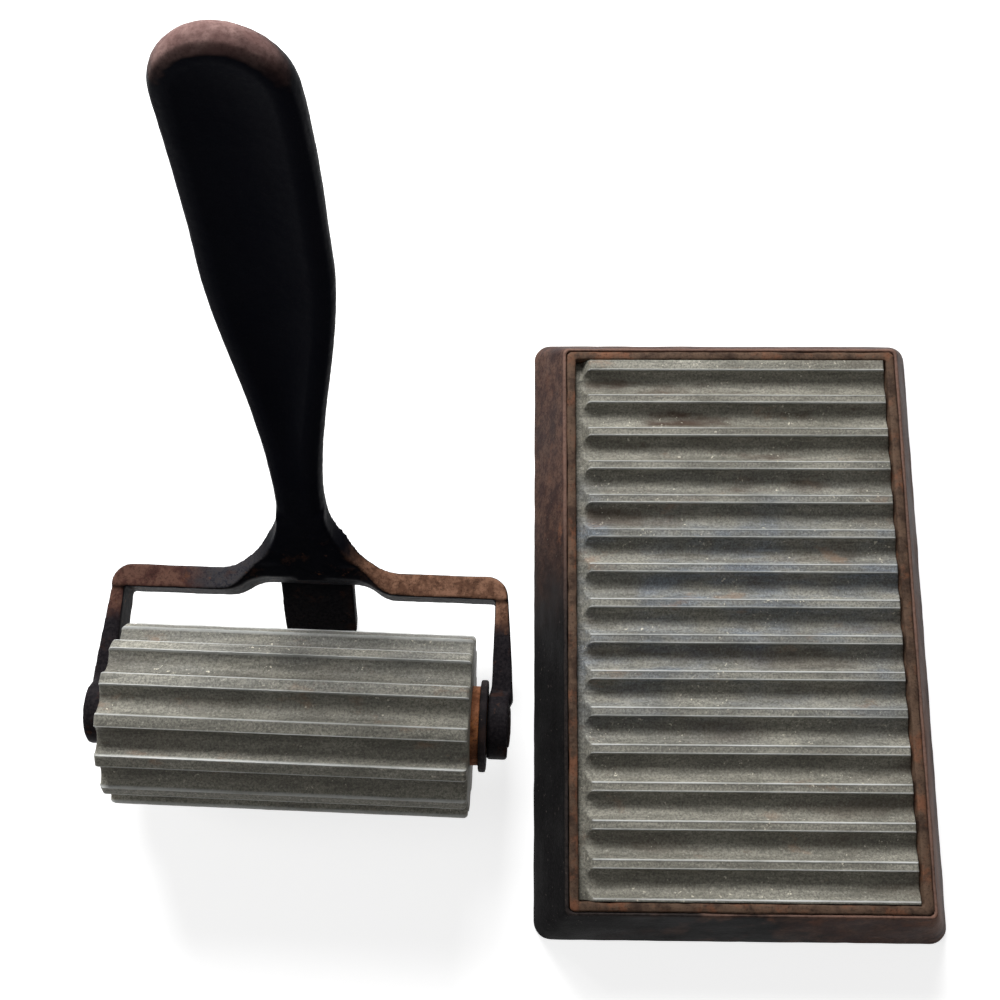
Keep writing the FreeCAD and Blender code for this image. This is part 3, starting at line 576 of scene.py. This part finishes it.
def axle_ring(x, radii, angles):
    """Ring about the axle; an angle of zero points backward and a quarter turn points up."""
    ring = np.zeros((len(angles), 3))
    for index, (radius, angle) in enumerate(zip(radii, angles)):
        ring[index] = tool_point(x, radius * math.cos(angle), AXLE[2] + radius * math.sin(angle))
    return ring


def sleeve_angles():
    """Angles round the sleeve, close together where a tooth's land meets its flutes."""
    edge = land_edge() / TIP_RADIUS
    coarse = np.linspace(0.0, edge - 0.02, 11)[1:] - 0.007
    fine = np.linspace(edge - 0.018, edge + 0.018, 9)
    half = np.concatenate((coarse, fine))
    one = np.concatenate((-half[::-1], half, [TOOTH_STEP / 2]))
    angles = [ROLL_ANGLE + (index + 0.5) * TOOTH_STEP + one for index in range(TEETH)]
    return np.sort(np.concatenate(angles) % (2 * math.pi))


def sleeve_stations():
    """Places along the sleeve, close together over its rounded ends."""
    near = SLEEVE_ROUND * (1 - np.cos(np.linspace(0, math.pi / 2, 6)))
    middle = np.arange(SLEEVE_ROUND + 1.2, SLEEVE_LENGTH - SLEEVE_ROUND - 0.8, 1.3)
    return np.concatenate((near, middle, SLEEVE_LENGTH - near[::-1]))


def sleeve_radii(station, profile, angles):
    """Radii of one ring of the sleeve: its flutes with their rounded ends and fine wear."""
    edge = min(station, SLEEVE_LENGTH - station)
    drop = 0.0
    if edge < SLEEVE_ROUND:
        drop = SLEEVE_ROUND * (1 - math.sqrt(max(0.0, 1 - (1 - edge / SLEEVE_ROUND) ** 2)))
    tip_share = smoothstep(profile, TIP_RADIUS - 2.2, TIP_RADIUS - 0.1)
    radii = profile - drop * (0.25 + 0.75 * tip_share)
    x = SLEEVE_LEFT + station
    for index, angle in enumerate(angles):
        y = radii[index] * math.cos(angle)
        z = radii[index] * math.sin(angle)
        radii[index] += 0.05 * rough((x * 0.5, y, z), 3.5) + 0.03 * rough((x, y, z), 1.1, 2)
    return radii


def make_sleeve():
    """Fluted sleeve with slightly rounded and worn tooth ends."""
    angles = sleeve_angles()
    profile = tooth_radius(angles - ROLL_ANGLE)
    bore = np.full(len(angles), CORE_RADIUS)
    halfway = (profile + CORE_RADIUS) / 2
    rings = [axle_ring(SLEEVE_LEFT, bore, angles), axle_ring(SLEEVE_LEFT, halfway, angles)]
    for station in sleeve_stations():
        rings.append(axle_ring(SLEEVE_LEFT + station, sleeve_radii(station, profile, angles), angles))
    rings += [axle_ring(SLEEVE_RIGHT, halfway, angles), axle_ring(SLEEVE_RIGHT, bore, angles)]
    item = loft("roller_sleeve_skin", rings, loop=True)
    mask_sleeve(item)
    shade_by_angle(item, 40)
    return item


def mask_sleeve(item):
    """Tell the material where the sleeve's hollows and worn edges with their painted highlight are. It has
    no seam lines.
    """
    places = vertex_places(item) - AXLE
    behind = places @ BACKWARD
    above = places[:, 2]
    beside = turn_from_flute(np.arctan2(above, behind) - ROLL_ANGLE) * TIP_RADIUS
    land, hollow = land_and_hollow(np.hypot(behind, above), TIP_RADIUS)
    set_mask(item, "hollow", hollow)
    # The edge mask marks the worn land edges and their painted highlight line.
    set_mask(item, "edge", land * worn_edge_highlight_line(beside, 0.15))
    set_mask(item, "seam", np.zeros(len(places)))


def turned(name, outline, segments=72, grain=(0.04, 2.0, 3), loop=True):
    """Lathe an outline of (x, radius) pairs about the axle and roughen it by one layer of noise."""
    angles = full_turn(segments)
    rings = [axle_ring(x, np.full(segments, radius), angles) for x, radius in outline]
    item = loft(name, rings, loop)
    roughen(item, (grain,))
    shade_by_angle(item, 40)
    return item


def make_core():
    """Iron core with its left flange and the end that carries the collar."""
    left = -CORE_END
    flange = left + FLANGE_THICKNESS
    collar = CORE_END - FLANGE_THICKNESS
    outline = [(left, BORE_RADIUS), (left, FLANGE_RADIUS - 0.3), (left + 0.3, FLANGE_RADIUS),
               (flange - 0.3, FLANGE_RADIUS), (flange, FLANGE_RADIUS - 0.3), (flange, CORE_RADIUS + 0.2),
               (flange + 0.2, CORE_RADIUS)]
    outline += [(x, CORE_RADIUS) for x in np.linspace(flange + 1, collar - 1, 30)]
    outline += [(collar - 0.2, CORE_RADIUS), (collar, CORE_RADIUS - 0.2), (collar, SPIGOT_RADIUS),
                (CORE_END - 0.2, SPIGOT_RADIUS), (CORE_END, SPIGOT_RADIUS - 0.2), (CORE_END, BORE_RADIUS)]
    return turned("roller_core_skin", outline)


def make_collar():
    """Separate collar on the core's right end."""
    left = CORE_END - FLANGE_THICKNESS
    outline = [(left, SPIGOT_RADIUS), (left, FLANGE_RADIUS - 0.35), (left + 0.12, FLANGE_RADIUS - 0.1),
               (left + 0.4, FLANGE_RADIUS), (CORE_END - 0.4, FLANGE_RADIUS),
               (CORE_END - 0.12, FLANGE_RADIUS - 0.1), (CORE_END, FLANGE_RADIUS - 0.35),
               (CORE_END, SPIGOT_RADIUS)]
    return turned("core_collar_skin", outline)


def make_axle():
    """Rod with beaten rivet heads outside the eyes."""
    outline = []
    for side in (-1, 1):
        face = side * EYE_OUTSIDE
        head = [(face, AXLE_RADIUS), (face, RIVET_RADIUS - 0.15), (face + side * 0.15, RIVET_RADIUS),
                (face + side * 0.35, RIVET_RADIUS - 0.25), (face + side * 0.5, RIVET_RADIUS - 1.2),
                (face + side * RIVET_HEIGHT, 1.6), (face + side * RIVET_HEIGHT, 0.05)]
        outline += head[::-1] if side < 0 else head
    return turned("axle_rod_skin", outline, segments=48, grain=(0.03, 1.5, 3), loop=False)


# Handle and fork

def make_fork():
    """Cast fork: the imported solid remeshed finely, its corners softened like a casting's."""
    source = frame["nodes"]["handle_fork"]
    mesh = source.data.copy()
    item = bpy.data.objects.new("handle_fork_skin", mesh)
    bpy.context.scene.collection.objects.link(item)
    mesh.materials.clear()
    for name in [layer.name for layer in mesh.attributes]:
        layer = mesh.attributes.get(name)
        if layer is not None and not layer.is_required and not layer.is_internal:
            mesh.attributes.remove(layer)
    remesh = item.modifiers.new("remesh", "REMESH")
    remesh.mode = "VOXEL"
    remesh.voxel_size = FORK_VOXEL * MM
    remesh.adaptivity = 0
    soften = item.modifiers.new("soften", "SMOOTH")
    soften.factor = 0.5
    soften.iterations = 6
    apply_modifiers(item)
    shade_smooth(item.data)
    fill_out_handle(item)
    roughen(item, ((0.06, 7.0, 3), (0.035, 1.6, 2)), lowest=0.6)
    return item


def fill_out_handle(item):
    """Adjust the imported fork's form a little.

    The paddle gets fuller, the webs beside the neck smaller and the tip blunter, and the
    tongue's foot moves forward.
    """
    places = vertex_places(item)
    height = places[:, 2]
    across = (places - AXLE) @ AXLE_DIRECTION
    middle = smoothstep(height, 30, 60) * (1 - smoothstep(height, 112, 134))
    shift = middle * (PADDLE_WIDENING * across + PADDLE_SHIFT)
    places += shift[:, None] * AXLE_DIRECTION
    behind = (places - AXLE) @ BACKWARD
    web = smoothstep(np.abs(across), 5.3, 8.5) * (1 - smoothstep(height, 24, 30))
    web = web * smoothstep(behind, 33.0, 34.5)
    foot = (1 - smoothstep(height, 1, 13)) * (1 - smoothstep(np.abs(across), 11, 14))
    places += (-WEB_SHRINK * web * (behind - WEB_ROOT) - FOOT_SHIFT * foot)[:, None] * BACKWARD
    drop = TIP_DROP * smoothstep(height, 92, 138)
    places -= drop[:, None] * (BACKWARD * math.cos(TIP_LEAN) + np.array((0, 0, math.sin(TIP_LEAN))))
    place_vertices(item, places)


# Materials

class Nodes:
    """Short way to build a material's nodes."""

    def __init__(self, name):
        self.material = bpy.data.materials.new(name)
        self.material.use_nodes = True
        self.tree = self.material.node_tree
        self.tree.nodes.clear()
        self.output = self.tree.nodes.new("ShaderNodeOutputMaterial")
        self.shader = self.tree.nodes.new("ShaderNodeBsdfPrincipled")
        self.link(self.shader.outputs[0], self.output.inputs[0])
        self.place = self.tree.nodes.new("ShaderNodeTexCoord").outputs["Object"]

    def link(self, source, target):
        """Join an output to an input."""
        self.tree.links.new(source, target)

    def feed(self, socket, value):
        """Set an input to a number or a colour, or join it to an output."""
        if isinstance(value, (int, float, tuple)):
            socket.default_value = value
        else:
            self.link(value, socket)

    def noise(self, size_mm, detail, roughness, stretch=None, offset=None):
        """Noise with features of about the given size, as a value near 0.5."""
        place = self.place
        if stretch or offset:
            mapping = self.tree.nodes.new("ShaderNodeMapping")
            self.link(place, mapping.inputs["Vector"])
            mapping.inputs["Scale"].default_value = stretch or (1, 1, 1)
            mapping.inputs["Location"].default_value = offset or (0, 0, 0)
            place = mapping.outputs[0]
        node = self.tree.nodes.new("ShaderNodeTexNoise")
        self.link(place, node.inputs["Vector"])
        node.inputs["Scale"].default_value = 1 / (size_mm * MM)
        node.inputs["Detail"].default_value = detail
        node.inputs["Roughness"].default_value = roughness
        return node.outputs["Fac"]

    def ramp(self, value, low, high, to_low=0.0, to_high=1.0):
        """Map a range smoothly to another."""
        node = self.tree.nodes.new("ShaderNodeMapRange")
        node.interpolation_type = "SMOOTHSTEP"
        self.feed(node.inputs["Value"], value)
        for key, number in (("From Min", low), ("From Max", high), ("To Min", to_low), ("To Max", to_high)):
            node.inputs[key].default_value = number
        return node.outputs["Result"]

    def math(self, operation, a, b, clamp=False):
        """Combine two values, kept between 0 and 1 if clamped."""
        node = self.tree.nodes.new("ShaderNodeMath")
        node.operation = operation
        node.use_clamp = clamp
        self.feed(node.inputs[0], a)
        self.feed(node.inputs[1], b)
        return node.outputs[0]

    def mix(self, share, a, b):
        """Mix two colours by a share."""
        node = self.tree.nodes.new("ShaderNodeMix")
        node.data_type = "RGBA"
        self.feed(node.inputs[0], share)
        self.feed(node.inputs[6], a)
        self.feed(node.inputs[7], b)
        return node.outputs[2]

    def mask(self, name):
        """Number stored at each vertex under a name."""
        node = self.tree.nodes.new("ShaderNodeAttribute")
        node.attribute_name = name
        return node.outputs["Fac"]

    def facing_up(self):
        """How far the surface faces up, from its own normal."""
        geometry = self.tree.nodes.new("ShaderNodeNewGeometry")
        parts = self.tree.nodes.new("ShaderNodeSeparateXYZ")
        self.link(geometry.outputs["Normal"], parts.inputs[0])
        return parts.outputs["Z"]

    def along(self, direction, origin_mm):
        """Distance in millimetres along a direction from a point of the frame."""
        node = self.tree.nodes.new("ShaderNodeVectorMath")
        node.operation = "DOT_PRODUCT"
        self.link(self.place, node.inputs[0])
        node.inputs[1].default_value = tuple(float(c) / MM for c in direction)
        shift = float(np.dot(direction, origin_mm))
        return self.math("SUBTRACT", node.outputs["Value"], shift)

    def bump(self, height, distance_mm, strength, normal=None):
        """Fine relief from a value, laid over another relief where one is given."""
        node = self.tree.nodes.new("ShaderNodeBump")
        node.inputs["Strength"].default_value = strength
        node.inputs["Distance"].default_value = distance_mm * MM
        self.link(height, node.inputs["Height"])
        if normal is not None:
            self.link(normal, node.inputs["Normal"])
        return node.outputs[0]


def linear(red, green, blue):
    """Colour for a shader from screen values of 0 to 255."""
    def channel(value):
        share = value / 255
        return share / 12.92 if share <= 0.04045 else ((share + 0.055) / 1.055) ** 2.4
    return (channel(red), channel(green), channel(blue), 1)


def fluted_material(name, olive, stain_share):
    """Worn grey metal: mottled, brown stains low in the flutes, worn land edges with a painted highlight,
    and painted glints.
    """
    net = Nodes(name)
    back = net.along((0, 1, 0), BED_CENTRE)
    cloud = net.noise(6, 5, 0.65, stretch=(0.3, 1, 1))
    grain = net.noise(0.55, 3, 0.8)
    streak = net.noise(1.5, 4, 0.7, stretch=(0.12, 1, 1), offset=(5, 0, 2))
    cool = net.math("MULTIPLY", net.ramp(back, -38, -4), net.ramp(back, 42, 14))
    cool = net.math("MULTIPLY", cool, net.ramp(net.noise(17, 3, 0.6), 0.38, 0.6, 0.25, 1.0 - olive))
    grey = net.mix(cool, linear(134, 131, 120), linear(128, 136, 146))
    tone = net.mix(net.ramp(cloud, 0.35, 0.7), grey, linear(166, 163, 151))
    tone = net.mix(net.ramp(streak, 0.42, 0.68, 0.0, 0.55), tone, linear(92, 91, 84))
    tone = net.mix(net.ramp(grain, 0.44, 0.62, 0.0, 0.6), tone, linear(72, 72, 68))
    tone = net.mix(net.ramp(grain, 0.41, 0.28, 0.0, 0.6), tone, linear(204, 202, 190))
    tone = net.mix(net.math("MULTIPLY", net.mask("hollow"), 0.3), tone, linear(80, 77, 68))
    stain = net.ramp(net.noise(11, 4, 0.6, stretch=(0.35, 1, 1), offset=(1, 5, 0)), 0.5, 0.66)
    stain = net.math("MULTIPLY", stain, net.ramp(net.mask("hollow"), 0.0, 0.9, 0.25, 1.0))
    stain = net.math("MULTIPLY", stain, net.ramp(back, -10, 60, 0.35 * stain_share, stain_share), True)
    tone = net.mix(stain, tone, linear(64, 48, 38))
    warm = net.ramp(net.noise(8, 5, 0.7, stretch=(0.6, 1, 1), offset=(7, 1, 3)), 0.58, 0.7, 0, 0.45)
    tone = net.mix(warm, tone, linear(142, 116, 96))
    # Painted highlight: a pale line along the worn land edges, where light would glance off them.
    edge_wear_and_highlight = net.math("MULTIPLY", net.mask("edge"), net.ramp(cloud, 0.3, 0.6, 0.45, 1.0))
    tone = net.mix(edge_wear_and_highlight, tone, linear(216, 218, 216))
    tone = net.mix(net.math("MULTIPLY", net.mask("seam"), 0.6), tone, linear(60, 60, 60))
    # Painted glints: rare small bright flecks that stand in for highlights on the metal.
    glint_speck = net.math("MULTIPLY", net.ramp(net.noise(0.8, 2, 0.5, offset=(3, 1, 2)), 0.66, 0.7),
                   net.ramp(net.noise(9, 2, 0.5, offset=(4, 4, 4)), 0.5, 0.62))
    tone = net.mix(net.math("MULTIPLY", glint_speck, 0.8), tone, linear(214, 208, 190))
    net.feed(net.shader.inputs["Base Color"], tone)
    net.shader.inputs["Metallic"].default_value = 0.06
    net.shader.inputs["Specular IOR Level"].default_value = 0.12
    net.feed(net.shader.inputs["Roughness"], net.ramp(cloud, 0.3, 0.7, 0.42, 0.62))
    pits = net.bump(grain, 0.10, 0.6)
    waves = net.bump(streak, 0.16, 0.5, pits)
    net.feed(net.shader.inputs["Normal"], waves)
    return net.material


def base_material():
    """Black paint worn to brown: purple-brown at the far left and right, black lower down."""
    net = Nodes("base_paint")
    back = net.along((0, 1, 0), BED_CENTRE)
    side = net.along((1, 0, 0), BED_CENTRE)
    high = net.along((0, 0, 1), (0, 0, 0))
    broad = net.noise(22, 4, 0.6)
    fine = net.noise(0.8, 4, 0.75)
    brown_share = net.math("ADD", net.ramp(back, -6, 36), net.ramp(side, 10, 38), True)
    brown_share = net.math("MULTIPLY", brown_share, net.ramp(broad, 0.3, 0.52, 0.6, 1.0))
    patch = net.math("MULTIPLY", net.ramp(back, -52, -66), net.ramp(net.noise(15, 3, 0.6), 0.45, 0.58))
    patch = net.math("MULTIPLY", patch, net.ramp(side, -36, 0))
    brown_share = net.math("ADD", brown_share, net.math("MULTIPLY", patch, 0.8), True)
    paint = net.mix(net.ramp(fine, 0.35, 0.7), linear(4, 4, 5), linear(20, 18, 19))
    brown = net.mix(net.ramp(net.noise(5, 5, 0.65), 0.35, 0.65), linear(60, 43, 40), linear(96, 72, 62))
    brown = net.mix(net.ramp(fine, 0.42, 0.62, 0, 0.6), brown, linear(36, 26, 24))
    tone = net.mix(brown_share, paint, brown)
    rust = net.ramp(net.noise(9, 5, 0.7, offset=(2, 0, 7)), 0.55, 0.68, 0, 0.55)
    corner = net.math("MULTIPLY", net.ramp(side, 39, 44), net.ramp(back, 10, -50, 0.0, 0.8))
    rust = net.math("MAXIMUM", rust, net.math("MULTIPLY", corner, net.ramp(fine, 0.3, 0.55, 0.4, 1.0)))
    rust = net.math("MULTIPLY", rust, net.ramp(brown_share, 0.1, 0.7))
    tone = net.mix(net.math("MULTIPLY", rust, net.ramp(high, 4, 16)), tone, linear(128, 84, 62))
    edge = net.ramp(high, BASE_TOP - 0.9, BASE_TOP - 0.15)
    lip = net.mix(brown_share, linear(62, 56, 54), linear(134, 106, 94))
    tone = net.mix(net.math("MULTIPLY", edge, net.ramp(fine, 0.3, 0.6, 0.3, 0.8)), tone, lip)
    dust = net.math("MULTIPLY", net.ramp(net.noise(0.8, 2, 0.5), 0.69, 0.74), net.ramp(broad, 0.52, 0.62))
    tone = net.mix(net.math("MULTIPLY", dust, 0.4), tone, linear(120, 110, 100))
    net.feed(net.shader.inputs["Base Color"], tone)
    net.shader.inputs["Specular IOR Level"].default_value = 0.025
    net.feed(net.shader.inputs["Roughness"], net.ramp(broad, 0.3, 0.7, 0.45, 0.65))
    net.feed(net.shader.inputs["Normal"], net.bump(fine, 0.14, 0.6))
    return net.material


def rust_material(name, dark, brown, orange, orange_share):
    """Rusty iron in three tones."""
    net = Nodes(name)
    cloud = net.noise(4.5, 5, 0.7)
    fine = net.noise(0.6, 4, 0.78)
    tone = net.mix(net.ramp(cloud, 0.35, 0.62), dark, brown)
    bright = net.ramp(net.noise(7, 5, 0.7, offset=(4, 4, 1)), 0.5, 0.66, 0, orange_share)
    tone = net.mix(bright, tone, orange)
    tone = net.mix(net.ramp(fine, 0.5, 0.7, 0, 0.65), tone, linear(28, 21, 17))
    tone = net.mix(net.ramp(fine, 0.36, 0.26, 0, 0.45), tone, linear(176, 146, 120))
    net.feed(net.shader.inputs["Base Color"], tone)
    net.shader.inputs["Specular IOR Level"].default_value = 0.1
    net.feed(net.shader.inputs["Roughness"], net.ramp(fine, 0.3, 0.7, 0.55, 0.85))
    net.feed(net.shader.inputs["Normal"], net.bump(fine, 0.15, 0.8))
    return net.material


def handle_material():
    """Blue-black paint, worn to mauve brown on the tip; the crossbar's up-facing top gets a painted grey
    highlight that turns to rust towards its ends.
    """
    net = Nodes("handle_paint")
    high = net.along((0, 0, 1), (0, 0, 0))
    across = net.along(AXLE_DIRECTION, AXLE)
    behind = net.along(BACKWARD, AXLE)
    up = net.facing_up()
    fine = net.noise(0.7, 4, 0.75)
    broad = net.noise(11, 4, 0.6)
    tone = net.mix(net.ramp(broad, 0.35, 0.65), linear(3, 4, 11), linear(8, 9, 16))
    tone = net.mix(net.ramp(fine, 0.52, 0.72, 0, 0.35), tone, linear(30, 28, 32))
    tip = net.math("MULTIPLY", net.ramp(high, 116, 131), net.ramp(up, 0.34, 0.82))
    worn = net.mix(net.ramp(net.noise(6, 4, 0.65), 0.35, 0.65), linear(122, 94, 90), linear(164, 134, 128))
    worn = net.mix(net.ramp(fine, 0.45, 0.65, 0, 0.4), worn, linear(80, 56, 54))
    tone = net.mix(net.math("MULTIPLY", tip, net.ramp(broad, 0.2, 0.45, 0.7, 1.0), True), tone, worn)
    low = net.ramp(high, 40, 27)
    tone = net.mix(net.math("MULTIPLY", low, net.ramp(behind, 34, 22, 0, 0.85)), tone,
                 net.mix(net.ramp(fine, 0.35, 0.65), linear(24, 22, 25), linear(46, 42, 44)))
    # Painted highlight: the crossbar's up-facing top is painted lighter grey; towards the right end this
    # turns to rust, and towards the left end to red-brown wear.
    top = net.math("MULTIPLY", net.math("MULTIPLY", low, net.ramp(up, 0.55, 0.9)), net.ramp(behind, 20, 25))
    grey = net.mix(net.ramp(fine, 0.35, 0.65), linear(40, 40, 46), linear(74, 72, 74))
    rust = net.mix(net.ramp(net.noise(3, 5, 0.7, offset=(1, 1, 1)), 0.4, 0.62), linear(96, 68, 54),
                 linear(140, 104, 84))
    red = net.mix(net.ramp(net.noise(3, 5, 0.7), 0.4, 0.6), linear(70, 46, 42), linear(100, 72, 62))
    wear = net.noise(7, 4, 0.6, offset=(3, 3, 3))
    right_end = net.ramp(net.math("ADD", across, net.math("MULTIPLY", wear, 10)), 10, 19)
    crossbar = net.mix(right_end, grey, rust)
    left_end = net.ramp(net.math("ADD", across, net.math("MULTIPLY", wear, 14)), -14, -24)
    crossbar = net.mix(left_end, crossbar, red)
    crossbar = net.mix(net.ramp(fine, 0.48, 0.66, 0, 0.55), crossbar, linear(40, 28, 24))
    tone = net.mix(net.math("MULTIPLY", top, net.ramp(wear, 0.25, 0.4, 0.75, 1.0)), tone, crossbar)
    spots = net.ramp(net.noise(5, 5, 0.7, offset=(9, 3, 1)), 0.56, 0.68, 0, 0.4)
    tone = net.mix(net.math("MULTIPLY", spots, low), tone, linear(70, 46, 36))
    bright = net.math("MULTIPLY", net.ramp(net.noise(3.2, 4, 0.7, offset=(2, 8, 5)), 0.62, 0.7), low)
    tone = net.mix(net.math("MULTIPLY", bright, 0.35), tone, linear(112, 74, 52))
    net.feed(net.shader.inputs["Base Color"], tone)
    net.shader.inputs["Specular IOR Level"].default_value = 0.02
    net.feed(net.shader.inputs["Roughness"], net.ramp(fine, 0.3, 0.7, 0.42, 0.6))
    net.feed(net.shader.inputs["Normal"], net.bump(net.noise(0.9, 5, 0.7), 0.10, 0.45))
    return net.material


def steel_material():
    """Dull screw steel with a little rust."""
    net = Nodes("screw_steel")
    cloud = net.noise(2.2, 5, 0.7)
    tone = net.mix(net.ramp(cloud, 0.4, 0.65), linear(96, 92, 88), linear(92, 62, 46))
    net.feed(net.shader.inputs["Base Color"], tone)
    net.shader.inputs["Metallic"].default_value = 0.6
    net.feed(net.shader.inputs["Roughness"], net.ramp(cloud, 0.3, 0.7, 0.4, 0.7))
    net.feed(net.shader.inputs["Normal"], net.bump(net.noise(0.5, 4, 0.7), 0.08, 0.5))
    return net.material


# Assembly

def dress(item, body, node, material):
    """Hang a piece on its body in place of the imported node."""
    item.data.materials.clear()
    item.data.materials.append(material)
    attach(item, body)
    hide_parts(node)


def build_object():
    """Make every piece with its material and put it on its body."""
    tray_rust = rust_material("tray_rust", linear(62, 48, 40), linear(100, 80, 66),
                              linear(136, 88, 64), 0.6)
    core_rust = rust_material("core_rust", linear(128, 80, 54), linear(190, 126, 90),
                              linear(232, 150, 92), 0.8)
    dark_rust = rust_material("dark_rust", linear(24, 21, 23), linear(44, 38, 39),
                              linear(70, 50, 42), 0.4)
    dress(make_base(), "bed", "base_casting", base_material())
    dress(make_tray(), "bed", "bed_tray", tray_rust)
    dress(make_plate(), "bed", "bed_plate", fluted_material("plate_metal", 0.0, 0.95))
    dress(make_fork(), "hand_frame", "handle_fork", handle_material())
    dress(make_axle(), "hand_frame", "axle_rod", dark_rust)
    dress(make_sleeve(), "roller", "roller_sleeve",
          fluted_material("sleeve_metal", 0.75, 0.45))
    dress(make_core(), "roller", "roller_core", core_rust)
    dress(make_collar(), "roller", "core_collar", dark_rust)
    screws = frame["nodes"]["bed_screws"]
    screws.data.materials.clear()
    screws.data.materials.append(steel_material())


# Stage, with the camera in millimetres and radians, and lamps and floor in metres

CAMERA_PLACE = (BED_CENTRE[0] - 50.266, BED_CENTRE[1] - 40.041, 293.538)
CAMERA_TURN = (0.240, 0.018, 0.009)
CAMERA_LENS = 43.13
FLOOR_HALF = 3.0
GLOW_START = 0.18
GLOW_END = 0.5
GLOW_NEAR = 0.74
SKY_LIGHT = 0.12


def make_stage():
    """Camera, table top, sky and two lamps."""
    scene = bpy.context.scene
    scene.view_settings.view_transform = "Standard"
    camera = bpy.data.objects.new("camera", bpy.data.cameras.new("camera"))
    scene.collection.objects.link(camera)
    camera.location = [c * MM for c in CAMERA_PLACE]
    camera.rotation_euler = Euler(CAMERA_TURN, "XYZ")
    camera.data.lens = CAMERA_LENS
    camera.data.sensor_width = 36
    camera.data.clip_start = 0.01
    scene.camera = camera
    make_floor()
    make_world()
    add_lamp("window_lamp", place=(-0.14, 0.58, 0.45), size=(0.40, 0.24), power=7.4)
    add_lamp("side_lamp", place=(-0.60, 0.0, 0.45), size=(0.35, 0.35), power=0.9)


def add_lamp(name, place, size, power):
    """Soft rectangular lamp aimed at a point a little above the middle of the table."""
    data = bpy.data.lights.new(name, "AREA")
    data.shape = "RECTANGLE"
    data.size, data.size_y = size
    data.energy = power
    lamp = bpy.data.objects.new(name, data)
    bpy.context.scene.collection.objects.link(lamp)
    lamp.location = place
    lamp.rotation_euler = (Vector((0, 0, 0.02)) - Vector(place)).to_track_quat("-Z", "Y").to_euler()


def make_floor():
    """Plain pale table top that keeps the object's shadow and turns white further out."""
    mesh = bpy.data.meshes.new("floor")
    corners = [(x * FLOOR_HALF, y * FLOOR_HALF, 0) for x, y in ((-1, -1), (1, -1), (1, 1), (-1, 1))]
    mesh.from_pydata(corners, [], [(0, 1, 2, 3)])
    floor = bpy.data.objects.new("floor", mesh)
    bpy.context.scene.collection.objects.link(floor)
    material = bpy.data.materials.new("floor")
    material.use_nodes = True
    tree = material.node_tree
    tree.nodes.clear()
    output = tree.nodes.new("ShaderNodeOutputMaterial")
    diffuse = tree.nodes.new("ShaderNodeBsdfDiffuse")
    diffuse.inputs["Color"].default_value = (0.75, 0.75, 0.75, 1)
    glow = tree.nodes.new("ShaderNodeEmission")
    place = tree.nodes.new("ShaderNodeTexCoord")
    reach = tree.nodes.new("ShaderNodeVectorMath")
    reach.operation = "LENGTH"
    tree.links.new(place.outputs["Object"], reach.inputs[0])
    fade = tree.nodes.new("ShaderNodeMapRange")
    fade.interpolation_type = "SMOOTHSTEP"
    tree.links.new(reach.outputs["Value"], fade.inputs["Value"])
    for key, number in (("From Min", GLOW_START), ("From Max", GLOW_END), ("To Min", GLOW_NEAR),
                        ("To Max", 1.0)):
        fade.inputs[key].default_value = number
    tree.links.new(fade.outputs["Result"], glow.inputs["Strength"])
    both = tree.nodes.new("ShaderNodeAddShader")
    pick = tree.nodes.new("ShaderNodeMixShader")
    tree.links.new(diffuse.outputs[0], both.inputs[0])
    tree.links.new(glow.outputs[0], both.inputs[1])
    tree.links.new(seen_directly(tree), pick.inputs[0])
    tree.links.new(diffuse.outputs[0], pick.inputs[1])
    tree.links.new(both.outputs[0], pick.inputs[2])
    tree.links.new(pick.outputs[0], output.inputs[0])
    mesh.materials.append(material)


def seen_directly(tree):
    """One for rays from the camera and for mirrored and clear rays, else zero."""
    path = tree.nodes.new("ShaderNodeLightPath")
    total = path.outputs["Is Camera Ray"]
    for key in ("Is Glossy Ray", "Is Transmission Ray"):
        add = tree.nodes.new("ShaderNodeMath")
        add.operation = "MAXIMUM"
        tree.links.new(total, add.inputs[0])
        tree.links.new(path.outputs[key], add.inputs[1])
        total = add.outputs[0]
    return total


def make_world():
    """Soft even light, with a white sky where it is seen."""
    world = bpy.data.worlds.new("world")
    bpy.context.scene.world = world
    world.use_nodes = True
    tree = world.node_tree
    tree.nodes.clear()
    output = tree.nodes.new("ShaderNodeOutputWorld")
    soft = tree.nodes.new("ShaderNodeBackground")
    soft.inputs["Strength"].default_value = SKY_LIGHT
    white = tree.nodes.new("ShaderNodeBackground")
    white.inputs["Color"].default_value = (1, 1, 1, 1)
    white.inputs["Strength"].default_value = 1.0
    pick = tree.nodes.new("ShaderNodeMixShader")
    tree.links.new(seen_directly(tree), pick.inputs[0])
    tree.links.new(soft.outputs[0], pick.inputs[1])
    tree.links.new(white.outputs[0], pick.inputs[2])
    tree.links.new(pick.outputs[0], output.inputs[0])


build_object()
make_stage()
